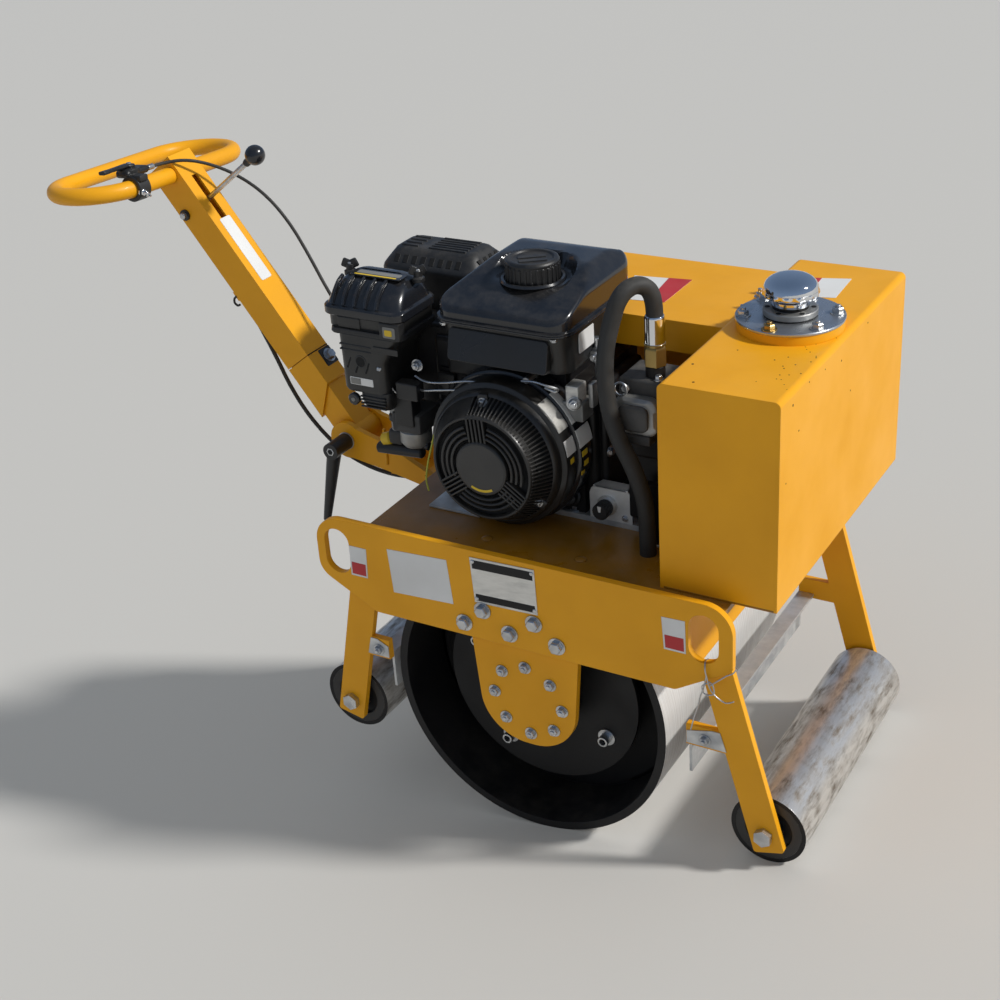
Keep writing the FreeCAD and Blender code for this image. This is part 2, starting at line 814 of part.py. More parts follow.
def air_cleaner_cover():
    cover = rounded_block(cleaner_rear, cleaner_front, cleaner_right, cleaner_left,
                          cleaner_seam, cleaner_top, cleaner_corner)
    top = [e for e in cover.Edges if e.BoundBox.ZMin > cleaner_top - 1]
    return cover.makeFillet(cleaner_corner - cleaner_step, top)


def muffler():
    return rounded_block(muffler_rear, muffler_front, muffler_right, muffler_left,
                         muffler_bottom, muffler_top, muffler_corner)


def exhaust_flange():
    """The short outlet between the cylinder head and the muffler above it."""
    front = muffler_front - muffler_corner / 2
    return box(front - outlet_depth, front, outlet_right, outlet_left, head_top, muffler_bottom)


def carburettor():
    """The intake between the air cleaner and the cylinder, with its bowl below."""
    bowl_x = cleaner_front - bowl_radius
    body = box(bowl_x - bowl_radius, cleaner_front, carburettor_y - bowl_radius, block_right,
               carburettor_bottom, cleaner_bottom)
    bowl = rod((bowl_x, carburettor_y, carburettor_bottom - bowl_depth),
               (bowl_x, carburettor_y, carburettor_bottom), bowl_radius - 1)
    joint = box(cleaner_front - bowl_radius, head_rear, block_right, block_right + bowl_radius,
                carburettor_bottom, cleaner_bottom)
    return body.fuse(bowl).fuse(joint).removeSplitter()


save("engine_base", engine_base())
save("engine_block", engine_block())
save("engine_pulley", engine_pulley())
save("blower_housing", blower_housing())
save("recoil_starter", recoil_starter())
save("fuel_tank", fuel_tank())
save("fuel_cap", fuel_cap())
save("air_cleaner_body", air_cleaner_body())
save("air_cleaner_cover", air_cleaner_cover())
save("muffler", muffler())
save("exhaust_flange", exhaust_flange())
save("carburettor", carburettor())


# Hydraulics
def pump():
    body = box(pump_rear, pump_front, pump_right, pump_left, pump_bottom, pump_top)
    foot = box(engine_base_front + pump_foot_gap, pump_front - pump_foot_inset, pump_right + pump_foot_inset,
               pump_left, deck_top, pump_bottom)
    return body.fuse(foot).removeSplitter()


HOSE_POINTS = [
    # x, y, z: up from the ferrule, over the loop and down beside the pump to the deck
    (fitting_x, fitting_y, ferrule_top),
    (fitting_x, fitting_y, 567),
    (135, -69, 588),
    (123, -86, 597),
    (111, -105, 586),
    (101, -110, 551),
    (95, -117, 515),
    (95, -120, 479),
    (98, -121, 443),
    (111, -123, 400),
    (133, -122, 358),
    (147, -119, 315),
    (150, -118, 272),
    (150, -118, deck_top),
]


def pump_fitting():
    """The adapter, the nut and the crimped ferrule, from the pump up to the hose."""
    steps = ((pump_top, adapter_top, adapter_radius), (adapter_top, nut_top, nut_radius),
             (nut_top, ferrule_top, ferrule_radius))
    stack = None
    for low, high, radius in steps:
        piece = rod((fitting_x, fitting_y, low), (fitting_x, fitting_y, high), radius)
        stack = piece if stack is None else stack.fuse(piece)
    return stack.removeSplitter()


def control_bracket():
    """An upright sheet on the engine base's right edge, its top folded back over the base."""
    right = engine_base_right
    top = engine_floor + control_height
    corners = [
        (control_rear, engine_floor, 0),
        (control_rear, top - control_chamfer, 0),
        (control_rear + control_chamfer / 2, top, 0),
        (control_front - control_chamfer / 2, top, 0),
        (control_front, top - control_chamfer, 0),
        (control_front, engine_floor, 0),
    ]
    sheet = side_profile(corners, right, right + control_sheet)
    flange = box(control_rear + control_chamfer / 2, control_front - control_chamfer / 2,
                 right, right + control_flange, top - control_sheet, top)
    return sheet.fuse(flange).removeSplitter()


def control_knob():
    collar_end = engine_base_right - collar_length
    collar = disc(knob_x, knob_z, collar_radius, collar_end, engine_base_right)
    return collar.fuse(disc(knob_x, knob_z, knob_radius, collar_end - knob_length, collar_end))


save("hydraulic_pump", pump())
save("pump_fitting", pump_fitting())
save("hydraulic_hose", sweep(HOSE_POINTS, hose_radius))
save("control_bracket", control_bracket())
save("control_knob", control_knob())


# Handle: everything above the pivot is drawn along the column's own direction
along = Vector(-math.cos(math.radians(column_angle)), 0, math.sin(math.radians(column_angle)))
front = Vector(math.sin(math.radians(column_angle)), 0, math.cos(math.radians(column_angle)))
pivot = Vector(pivot_x, 0, pivot_z)


def on_column(distance, out=0, y=0):
    """A point at a distance up the column, out from its axis towards its front face."""
    point = pivot + along * distance + front * out
    return (point.x, y, point.z)


def column_profile(corners, width):
    """A block across the machine whose corners are (distance up the column, out from its axis)."""
    outline = []
    for distance, out in corners:
        point = on_column(distance, out)
        outline.append((point[0], point[2], 0))
    return side_profile(outline, -width / 2, width / 2)


def bar_on_column(start, end, size, width):
    """A rectangular bar along the column, size deep and width wide."""
    half = size / 2
    return column_profile(((start, -half), (end, -half), (end, half), (start, half)), width)


def lever_pin(radius, y0, y1):
    """A round bar along the axis of the control lever's cross pin."""
    point = on_column(lever_distance, lever_pin_out)
    return disc(point[0], point[2], radius, y0, y1)


def handle_bracket():
    """Two ears that reach back to the pivot, with a web between them and an end plate on the deck's lip."""
    inner = column_size / 2 + ear_clearance
    low = deck_top - end_plate_height
    bracket = box(deck_rear - end_plate_thickness, deck_rear, -end_plate_half_width, end_plate_half_width,
                  low, deck_top)
    outline = [
        (pivot_x, pivot_z + ear_radius - ear_blend, 0),
        (ear_end, pivot_z + ear_radius / 4, 0),
        (deck_rear - 1, deck_top, 0),
        (deck_rear - 1, low + bracket_web_thickness, 0),
        (ear_end, low + 3 * bracket_web_thickness, 0),
        (pivot_x, pivot_z - ear_radius + ear_blend, 0),
    ]
    for side in (-1, 1):
        near = side * inner
        far = side * (inner + ear_thickness)
        ear = disc(pivot_x, pivot_z, ear_radius, near, far)
        bracket = bracket.fuse(side_profile(outline, near, far).fuse(ear))
    web = box(ear_end, deck_rear - 1, -inner - 1, inner + 1,
              deck_top - 2 * bracket_web_thickness, deck_top - bracket_web_thickness)
    pin_hole = disc(pivot_x, pivot_z, pin_radius, -column_size, column_size)
    return bracket.fuse(web).cut(pin_hole).removeSplitter()


def pivot_pin():
    reach = column_size / 2 + ear_clearance + ear_thickness
    pin = disc(pivot_x, pivot_z, pin_radius, -reach - pin_end, reach)
    return pin.fuse(hexagon(pivot_x, pivot_z, axle_head_radius, reach, reach + axle_head_height))


def clamp_lever():
    """A hub on the pivot pin's end with a tapered arm that hangs down."""
    reach = column_size / 2 + ear_clearance + ear_thickness
    hub = disc(pivot_x, pivot_z, clamp_hub_radius, -reach, -reach - clamp_hub_length)
    hub = hub.cut(disc(pivot_x, pivot_z, pin_radius, -reach + 1, -reach - pin_end))
    top = Vector(pivot_x, -reach - clamp_hub_length + clamp_arm_top_radius, pivot_z)
    down = Vector(-clamp_arm_run, 0, -clamp_arm_drop)
    arm = Part.makeCone(clamp_arm_top_radius, clamp_arm_tip_radius, down.Length, top, down)
    return hub.fuse(arm)


def column_core():
    """The square bar that turns on the pivot pin and carries the sleeve and the column."""
    bar = bar_on_column(0, core_end, core_size, core_size)
    bar = bar.fuse(disc(pivot_x, pivot_z, core_hub_radius, -column_size / 2, column_size / 2))
    pin_hole = disc(pivot_x, pivot_z, pin_radius + pin_clearance, -column_size, column_size)
    return bar.cut(pin_hole).removeSplitter()


def column_sleeve():
    """The short sleeve below the column's seam, cut on a slope at its lower end."""
    half = column_size / 2
    top = column_start - seam_gap
    outline = ((sleeve_rear, -half), (top, -half), (top, half), (sleeve_front, half))
    sleeve = column_profile(outline, column_size)
    bore = column_size - 2 * column_wall
    return sleeve.cut(bar_on_column(sleeve_rear - 1, top + 1, bore, bore))


def column_tube():
    """The square tube of the handle, closed at its top, with the control lever's slot in its front face."""
    half = column_size / 2
    bore = column_size - 2 * column_wall
    tube = bar_on_column(column_start, column_end, column_size, column_size)
    tube = tube.cut(bar_on_column(column_start - 1, column_end - column_wall, bore, bore))
    low = column_slot_centre - column_slot_length / 2
    high = column_slot_centre + column_slot_length / 2
    inside = half - column_wall - 1
    slot_outline = ((low, inside), (high, inside), (high, column_size), (low, column_size))
    slot = column_profile(slot_outline, column_slot_width)
    tab_low = tab_centre - tab_length / 2
    tab_high = tab_centre + tab_length / 2
    tab = column_profile(((tab_low, -half - tab_height), (tab_high, -half - tab_height),
                          (tab_high, -half), (tab_low, -half)), tab_width)
    tube = tube.cut(slot).fuse(tab).removeSplitter()
    return tube.cut(lever_pin(lever_pin_radius + pin_clearance, -column_size, column_size))


ring_place = FreeCAD.Placement(Vector(ring_x, 0, ring_z), FreeCAD.Rotation(Vector(0, 1, 0), ring_tilt)
                               .multiply(FreeCAD.Rotation(Vector(1, 0, 0), ring_roll)))


def on_ring(u, v, w=0):
    """A point in the ring handle's own frame: forward, to the left and up from its centre."""
    return ring_place.multVec(Vector(u, v, w))


def ring_tube(tube_radius):
    """A long oval ring of round bar across the machine."""
    half = (ring_length - ring_depth) / 2
    radius = ring_depth / 2
    path = Part.Wire([
        Part.LineSegment(on_ring(radius, -half), on_ring(radius, half)).toShape(),
        Part.Arc(on_ring(radius, half), on_ring(0, half + radius), on_ring(-radius, half)).toShape(),
        Part.LineSegment(on_ring(-radius, half), on_ring(-radius, -half)).toShape(),
        Part.Arc(on_ring(-radius, -half), on_ring(0, -half - radius), on_ring(radius, -half)).toShape(),
    ])
    start = on_ring(radius, -half)
    section = Part.Wire(Part.Circle(start, on_ring(radius, half) - start, tube_radius).toShape())
    return path.makePipeShell([section], True, False)


def handle_ring():
    """The ring handle, its front side let into the column."""
    return ring_tube(ring_tube_radius).cut(bar_on_column(column_start, column_end, column_size, column_size))


def control_lever():
    """A rod on a cross pin in the column that stands out of the slot, with a ball on its end."""
    half = column_size / 2
    tip = on_column(lever_distance, ball_out)
    pin = lever_pin(lever_pin_radius, -half - lever_pin_head, half + lever_pin_head / 2)
    collar = lever_pin(lever_pin_collar_radius, column_wall - half, half - column_wall)
    lever = rod(on_column(lever_distance, lever_pin_out), tip, lever_rod_radius)
    return lever.fuse(pin).fuse(collar).fuse(Part.makeSphere(ball_radius, Vector(*tip)))


def throttle_lever():
    """A clamp about the ring's front side with the lever's housing on it."""
    u = ring_depth / 2
    half = throttle_width / 2
    along_tube = on_ring(u, throttle_y + half) - on_ring(u, throttle_y - half)
    start = on_ring(u, throttle_y - half)
    clamp = Part.makeCylinder(throttle_clamp_radius, throttle_width, start, along_tube)
    body = Part.makeBox(throttle_body_depth, throttle_body_end - throttle_body_start,
                        throttle_body_high - throttle_body_low,
                        Vector(u - throttle_body_depth, throttle_body_start, throttle_body_low))
    body.Placement = ring_place
    return clamp.fuse(body).cut(ring_tube(ring_tube_radius + clamp_clearance))


def from_housing(distance):
    """A point straight out of the throttle housing's end."""
    point = on_ring(ring_depth / 2 - throttle_body_depth / 8, throttle_body_end + distance,
                    (throttle_body_low + throttle_body_high) / 2)
    return (point.x, point.y, point.z)


THROTTLE_POINTS = [
    # x, y, z: from the throttle's housing over the column's far side and down to the cylinder head
    from_housing(0),
    from_housing(22),
    (-650, -14, 667),
    (-624, 16, 653),
    (-590, 36, 632),
    (-548, 40, 606),
    (-511, 40, 568),
    (-480, 37, 522),
    (-448, 30, 474),
    (-412, 20, 435),
    (-368, 6, 410),
    (-318, -8, 396),
    (-268, -18, 389),
    (-226, -22, 387),
    (head_rear, -22, 387),
]
tab_face = tab_centre - tab_length / 2
CONTROL_POINTS = [
    # x, y, z: from the tab on the column's rear face, hanging down behind it to the deck's end plate
    on_column(tab_face, -column_size / 2 - tab_height / 2, control_cable_y),
    on_column(240, -32.5, control_cable_y),
    on_column(208, -37, control_cable_y),
    (-527, -12, 366),
    (-509, -12, 324),
    (-485, -11, 283),
    (-455, -10, 249),
    (-420, -9, 222),
    (-378, -8, 206),
    (-334, -9, 201),
    (-292, -10, 205),
    (deck_rear - end_plate_thickness, -10, 205),
]

save("handle_bracket", handle_bracket())
save("pivot_pin", pivot_pin())
save("clamp_lever", clamp_lever())
save("column_core", column_core())
save("column_sleeve", column_sleeve())
save("column_tube", column_tube())
save("handle_ring", handle_ring())
save("control_lever", control_lever())
save("throttle_lever", throttle_lever())
save("throttle_cable", sweep(THROTTLE_POINTS, throttle_cable_radius))
save("control_cable", sweep(CONTROL_POINTS, control_cable_radius))
print("tip angle", tip_angle)
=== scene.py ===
# %% [markdown]
# A walk-behind road roller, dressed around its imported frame.
# The frame brings the steel: plates, drum, rollers, tank, column and joints, at their real size.
# This script adds what a person sees a step away: paint, cast and bare metal, the engine's
# covers with their slots and ribs, bolts, labels, the hose and the two cables.

# %% Load the frame
import math

import bmesh
import bpy
from mathutils import Matrix, Vector


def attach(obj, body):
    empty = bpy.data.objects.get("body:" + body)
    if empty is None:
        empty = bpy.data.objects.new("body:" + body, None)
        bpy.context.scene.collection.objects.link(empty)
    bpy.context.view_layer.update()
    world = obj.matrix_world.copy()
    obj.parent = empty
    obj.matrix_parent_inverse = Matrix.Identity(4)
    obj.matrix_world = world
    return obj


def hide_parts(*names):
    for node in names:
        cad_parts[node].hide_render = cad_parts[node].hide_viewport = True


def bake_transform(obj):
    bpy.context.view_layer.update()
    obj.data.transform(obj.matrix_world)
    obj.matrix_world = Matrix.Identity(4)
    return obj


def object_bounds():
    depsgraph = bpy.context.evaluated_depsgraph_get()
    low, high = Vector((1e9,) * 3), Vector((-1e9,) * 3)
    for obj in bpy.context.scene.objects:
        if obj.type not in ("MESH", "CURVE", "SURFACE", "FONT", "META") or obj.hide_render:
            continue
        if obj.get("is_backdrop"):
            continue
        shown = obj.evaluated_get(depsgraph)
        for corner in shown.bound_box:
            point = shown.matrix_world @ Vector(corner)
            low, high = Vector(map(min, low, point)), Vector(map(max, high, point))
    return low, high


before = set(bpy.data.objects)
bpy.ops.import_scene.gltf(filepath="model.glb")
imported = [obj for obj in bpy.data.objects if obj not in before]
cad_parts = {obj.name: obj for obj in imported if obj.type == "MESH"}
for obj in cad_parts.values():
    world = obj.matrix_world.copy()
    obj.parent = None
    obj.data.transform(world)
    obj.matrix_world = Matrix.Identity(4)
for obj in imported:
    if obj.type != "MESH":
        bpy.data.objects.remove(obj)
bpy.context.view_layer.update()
print("frame nodes:", len(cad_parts))

# %% [markdown]
# The machine is easiest to think about when it stands level, in millimetres, with its drum's axis
# as the origin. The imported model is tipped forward, because at rest it leans on its front roller.
# One matrix carries every level millimetre into the frame's metres, so no piece is fitted by eye.

# %% The level machine
DRUM_RADIUS = 212.5
ROLLER_RADIUS = 53.0
FRONT_AXLE = (357.0, -105.0)
REAR_AXLE = (-303.0, -79.0)
AHEAD, BACK = (1, 0, 0), (-1, 0, 0)
TO_LEFT, TO_RIGHT = (0, 1, 0), (0, -1, 0)
UP, DOWN = (0, 0, 1), (0, 0, -1)

front_reach = math.hypot(*FRONT_AXLE)
drop_to_ground = math.asin((DRUM_RADIUS - ROLLER_RADIUS) / front_reach)
TIP = drop_to_ground - math.atan2(-FRONT_AXLE[1], FRONT_AXLE[0])
tipped = Matrix.Rotation(TIP, 4, "Y")
LEVEL = Matrix.Translation((0, 0, DRUM_RADIUS / 1000)) @ tipped @ Matrix.Scale(0.001, 4)


def in_frame(point):
    """A point of the level machine, in the frame's metres."""
    return LEVEL @ Vector(point)


print("tipped forward by", round(math.degrees(TIP), 2), "degrees")

# %% [markdown]
# The camera looks from the front right, well above the drum, through a long lens. It is placed in
# the level machine's space and turned with it, so that the tipped model is seen as the level one was.

# %% Camera
def in_scene(name, data):
    """A new object with this data, linked into the scene."""
    made = bpy.data.objects.new(name, data)
    bpy.context.scene.collection.objects.link(made)
    return made


CAMERA_AZIMUTH = math.radians(31.72)
CAMERA_ELEVATION = math.radians(27.7)
CAMERA_ROLL = math.radians(-3.96)
CAMERA_PLACE = (985.41, -1835.96, 1324.21)
LENS = 59.04
SENSOR = 36.0

back = Vector((
    math.sin(CAMERA_AZIMUTH) * math.cos(CAMERA_ELEVATION),
    -math.cos(CAMERA_AZIMUTH) * math.cos(CAMERA_ELEVATION),
    math.sin(CAMERA_ELEVATION),
))
right = Vector((0, 0, 1)).cross(back).normalized()
up = back.cross(right)
rolled_right = right * math.cos(CAMERA_ROLL) + up * math.sin(CAMERA_ROLL)
rolled_up = up * math.cos(CAMERA_ROLL) - right * math.sin(CAMERA_ROLL)
turn = Matrix((rolled_right, rolled_up, back)).transposed()

camera_data = bpy.data.cameras.new("camera")
camera_data.lens = LENS
camera_data.sensor_width = SENSOR
camera_data.clip_end = 200.0
camera = in_scene("camera", camera_data)
camera.matrix_world = Matrix.Translation(in_frame(CAMERA_PLACE)) @ tipped @ turn.to_4x4()
bpy.context.scene.camera = camera
bpy.context.scene.view_settings.view_transform = "Standard"
print("camera at", [round(v, 2) for v in camera.location])

# %% [markdown]
# Shader nodes can be wired by hand, three lines for each. One short helper does it in one: it makes
# the node, sets its options, and for each socket either links another socket or writes a value.
# Materials and the world both use it.

# %% A helper for shader nodes
def node(tree, kind, inputs=(), **options):
    """A shader node whose sockets are linked or set by name or number."""
    made = tree.nodes.new("ShaderNode" + kind)
    for option, value in options.items():
        setattr(made, option, value)
    for socket, value in dict(inputs).items():
        if isinstance(value, bpy.types.NodeSocket):
            tree.links.new(value, made.inputs[socket])
        else:
            made.inputs[socket].default_value = value
    return made


def math_node(tree, operation, first, second=0.0, clamp=False):
    return node(tree, "Math", {0: first, 1: second}, operation=operation, use_clamp=clamp).outputs[0]


def mixed(tree, share, first, second):
    """A colour between two others."""
    made = node(tree, "Mix", {0: share, 6: first, 7: second}, data_type="RGBA", clamp_factor=True)
    return made.outputs[2]


print("helpers: node, math_node, mixed")

# %% [markdown]
# The sky lights the machine softly from all round. Camera rays see it as nearly white, and glossy
# rays see a brighter band at the horizon, because chrome and gloss only look right with something
# to mirror. Light Path tells the three kinds of ray apart.

# %% Sky
SKY_STRENGTH = 0.41
SKY_BANDS = (
    (0.0, (0.16, 0.15, 0.14, 1)), (0.02, (0.42, 0.41, 0.39, 1)), (0.16, (0.80, 0.83, 0.87, 1)),
    (0.34, (0.20, 0.28, 0.42, 1)), (1.0, (0.10, 0.15, 0.24, 1)),
)

world = bpy.data.worlds.new("sky")
bpy.context.scene.world = world
world.use_nodes = True
sky = world.node_tree
sky.nodes.clear()
rays = node(sky, "LightPath")
heading = node(sky, "SeparateXYZ", {0: node(sky, "TexCoord").outputs["Generated"]})
band = node(sky, "ValToRGB", {0: math_node(sky, "MULTIPLY_ADD", heading.outputs["Z"], 0.5)})
stops = band.color_ramp.elements
stops[0].color = SKY_BANDS[0][1]
stops[1].color = SKY_BANDS[-1][1]
for place, colour in SKY_BANDS[1:-1]:
    stops.new(place).color = colour
sky_light = node(sky, "Background", {"Color": (0.90, 0.95, 1.0, 1), "Strength": SKY_STRENGTH})
sky_seen = node(sky, "Background", {"Color": (0.86, 0.86, 0.85, 1), "Strength": 1.0})
sky_glossy = node(sky, "Background", {"Color": band.outputs[0], "Strength": 1.0})
mirrored = node(sky, "MixShader", {
    0: rays.outputs["Is Glossy Ray"], 1: sky_light.outputs[0], 2: sky_glossy.outputs[0]})
seen = node(sky, "MixShader", {
    0: rays.outputs["Is Camera Ray"], 1: mirrored.outputs[0], 2: sky_seen.outputs[0]})
node(sky, "OutputWorld", {0: seen.outputs[0]})
print("sky strength", SKY_STRENGTH)

# %% [markdown]
# A low soft sun comes from the front, so a face that looks forward gets the colour that its paint
# is written with, and the machine's right side stays at about half of that, as in open shade. An
# area lamp would do for one view, but a sun lights the machine alike from near and far. The floor
# is a plain pale sheet, wide enough to reach the horizon in every view.

# %% Sun and floor
SUN_STRENGTH = 3.15
SUN_FROM = (1.6, 0.35, 1.0)
FLOOR_HALF = 60.0

sun_data = bpy.data.lights.new("sun", "SUN")
sun_data.energy = SUN_STRENGTH
sun_data.angle = math.radians(6)
sun_data.color = (1.0, 0.975, 0.93)
sun = in_scene("sun", sun_data)
sun.rotation_euler = Vector(SUN_FROM).to_track_quat("Z", "Y").to_euler()

floor_mesh = bpy.data.meshes.new("floor")
corners = [(x * FLOOR_HALF, y * FLOOR_HALF, 0) for x, y in ((-1, -1), (1, -1), (1, 1), (-1, 1))]
floor_mesh.from_pydata(corners, [], [(0, 1, 2, 3)])
floor_paint = bpy.data.materials.new("floor_paint")
floor_paint.use_nodes = True
floor_surface = floor_paint.node_tree.nodes["Principled BSDF"].inputs
floor_surface["Base Color"].default_value = (0.62, 0.61, 0.59, 1)
floor_surface["Roughness"].default_value = 0.9
floor_mesh.materials.append(floor_paint)
in_scene("floor", floor_mesh)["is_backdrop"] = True
print("sun strength", SUN_STRENGTH)

# %% [markdown]
# Four effects come back in nearly every finish, so each is a shader group with its own inputs,
# built once: rounded edges, an uneven surface, settled dust and fine lines. They give out masks,
# heights and normals only. Two helpers make an empty group, and place one in a material.

# %% Helpers for shader groups
def new_group(name, inputs, outputs):
    """An empty group: inputs are (label, default), outputs are (label, socket type)."""
    tree = bpy.data.node_groups.new(name, "ShaderNodeTree")
    for label, default in inputs:
        socket = tree.interface.new_socket(name=label, in_out="INPUT", socket_type="NodeSocketFloat")
        socket.default_value = default
    for label, kind in outputs:
        tree.interface.new_socket(name=label, in_out="OUTPUT", socket_type="NodeSocket" + kind)
    return tree, tree.nodes.new("NodeGroupInput").outputs, tree.nodes.new("NodeGroupOutput").inputs


def placed_group(tree, group, **values):
    """One of the groups inside a material, with its own values."""
    made = tree.nodes.new("ShaderNodeGroup")
    made.node_tree = group
    for label, value in values.items():
        made.inputs[label.replace("_", " ")].default_value = value
    return made.outputs


def noise(tree, scale, detail, roughness=0.5, vector=None):
    """A noise over the object's own space, or over a vector."""
    where = vector or node(tree, "TexCoord").outputs["Object"]
    values = {"Vector": where, "Scale": scale, "Detail": detail, "Roughness": roughness}
    return node(tree, "TexNoise", values).outputs[0]


def ramp(tree, value, low, high):
    """A value stretched so that low becomes 0 and high becomes 1."""
    return node(tree, "MapRange", {0: value, 1: low, 2: high}).outputs[0]


print("helpers: new_group, placed_group, noise, ramp")

# %% [markdown]
# A pressed or cast edge is never sharp, and it is where paint rubs through first. Real chamfers
# everywhere would need many faces, so the Bevel node rounds the normal near an edge instead. Where
# it turns away from the true normal, in noisy patches, the mask says worn.

# %% Rounded edges
edges_tree, given, result = new_group(
    "rounded_edges", (("Radius", 0.0012), ("Amount", 1.0), ("Scale", 90.0)),
    (("Mask", "Float"), ("Normal", "Vector")))
rounded_off = node(edges_tree, "Bevel", {"Radius": given["Radius"]}, samples=4).outputs[0]
flat_normal = node(edges_tree, "NewGeometry").outputs["Normal"]
agreement = node(edges_tree, "VectorMath", {0: rounded_off, 1: flat_normal}, operation="DOT_PRODUCT")
turned_away = math_node(edges_tree, "SUBTRACT", 1.0, agreement.outputs["Value"])
patches = ramp(edges_tree, noise(edges_tree, given["Scale"], 3.0), 0.45, 0.7)
rubbed = math_node(edges_tree, "MULTIPLY", math_node(edges_tree, "MULTIPLY", turned_away, patches), 6.0)
edges_tree.links.new(math_node(edges_tree, "MULTIPLY", rubbed, given["Amount"], clamp=True), result["Mask"])
edges_tree.links.new(rounded_off, result["Normal"])
print("group", edges_tree.name)

# %% [markdown]
# No surface is even. Fine grain moves the light, and broad blotches move the colour, as orange
# peel does in paint and stains do on metal. Two noises give both.

# %% Uneven surface
grain_tree, given, result = new_group(
    "uneven_surface", (("Scale", 80.0), ("Blotch Scale", 9.0)), (("Height", "Float"), ("Blotches", "Float")))
blotches = ramp(grain_tree, noise(grain_tree, given["Blotch Scale"], 5.0), 0.35, 0.68)
grain_tree.links.new(noise(grain_tree, given["Scale"], 4.0), result["Height"])
grain_tree.links.new(blotches, result["Blotches"])
print("group", grain_tree.name)

# %% [markdown]
# Dust settles on what faces up, thicker in drifts. It could be painted by hand, but the normal
# already says how far a face looks up, in every piece at once, and a noise breaks the film.

# %% Settled dust
dust_tree, given, result = new_group("settled_dust", (("Amount", 0.3), ("Scale", 30.0)), (("Mask", "Float"),))
facing = node(dust_tree, "SeparateXYZ", {0: node(dust_tree, "NewGeometry").outputs["Normal"]}).outputs["Z"]
upward = ramp(dust_tree, facing, 0.2, 1.0)
cover = ramp(dust_tree, noise(dust_tree, given["Scale"], 6.0, 0.7), 0.4, 0.75)
film = math_node(dust_tree, "MULTIPLY", upward, cover)
dust_tree.links.new(math_node(dust_tree, "MULTIPLY", film, given["Amount"], clamp=True), result["Mask"])
print("group", dust_tree.name)

# %% [markdown]
# Rolled, drawn and turned metal has fine lines in one direction. A wave texture makes lines too, but
# they are too even. A noise whose space is stretched differently along the three axes has many
# uneven waves across the lines and few along them.

# %% Fine lines
lines_tree, given, result = new_group(
    "fine_lines", (("Along X", 6.0), ("Along Y", 300.0), ("Along Z", 6.0)),
    (("Height", "Float"), ("Streaks", "Float")))
stretch = node(lines_tree, "CombineXYZ", {0: given["Along X"], 1: given["Along Y"], 2: given["Along Z"]})
own_space = node(lines_tree, "TexCoord").outputs["Object"]
stretched = node(lines_tree, "VectorMath", {0: own_space, 1: stretch.outputs[0]}, operation="MULTIPLY")
lines = noise(lines_tree, 1.0, 5.0, 0.65, stretched.outputs[0])
lines_tree.links.new(lines, result["Height"])
lines_tree.links.new(ramp(lines_tree, lines, 0.38, 0.66), result["Streaks"])
print("group", lines_tree.name)

# %% [markdown]
# A finish is a colour that drifts towards a second one in blotches, dust on top, rubbed edges, and a
# roughness that drifts as well. One function lays these in the same order, because that is the order
# in which a machine gets them: paint, weather, dust, wear. What differs is named in the call.

# %% One function for every finish
DUST = (0.34, 0.30, 0.25, 1)
finishes = {}


def finish(name, colour, second, roughness, metallic=0.0, coat=0.0, grain=80.0, depth=0.1, blotch=9.0,
           dust=0.25, wear=0.4, wear_colour=(0.42, 0.40, 0.37, 1), lines=None, edge=0.0012, specular=0.5):
    """A material; lines is (x, y, z) for metal with fine drawn or rolled lines."""
    material = bpy.data.materials.new(name)
    material.use_nodes = True
    tree = material.node_tree
    surface = tree.nodes["Principled BSDF"]
    uneven = placed_group(tree, grain_tree, Scale=grain, Blotch_Scale=blotch)
    settled = placed_group(tree, dust_tree, Amount=dust)
    rim = placed_group(tree, edges_tree, Radius=edge, Amount=wear)
    height, share = uneven["Height"], uneven["Blotches"]
    if lines:
        drawn = placed_group(tree, lines_tree, Along_X=lines[0], Along_Y=lines[1], Along_Z=lines[2])
        height = drawn["Height"]
        share = math_node(tree, "MULTIPLY", drawn["Streaks"], math_node(tree, "ADD", uneven["Blotches"], 0.3))
    body_colour = mixed(tree, share, (*colour, 1), (*second, 1))
    dusty = mixed(tree, settled["Mask"], body_colour, DUST)
    worn = mixed(tree, rim["Mask"], dusty, wear_colour)
    gloss = node(tree, "MapRange", {0: share, 3: roughness * 0.85, 4: min(1.0, roughness * 1.35)}).outputs[0]
    matt = node(tree, "Mix", {0: settled["Mask"], 2: gloss, 3: 0.85}).outputs[0]
    bump = node(tree, "Bump", {
        "Strength": depth, "Distance": 0.0004, "Height": height, "Normal": rim["Normal"]})
    tree.links.new(worn, surface.inputs["Base Color"])
    tree.links.new(matt, surface.inputs["Roughness"])
    tree.links.new(bump.outputs[0], surface.inputs["Normal"])
    surface.inputs["Metallic"].default_value = metallic
    surface.inputs["Specular IOR Level"].default_value = specular
    surface.inputs["Coat Weight"].default_value = coat
    surface.inputs["Coat Roughness"].default_value = 0.08
    finishes[name] = material


print("dust colour", DUST[:3])
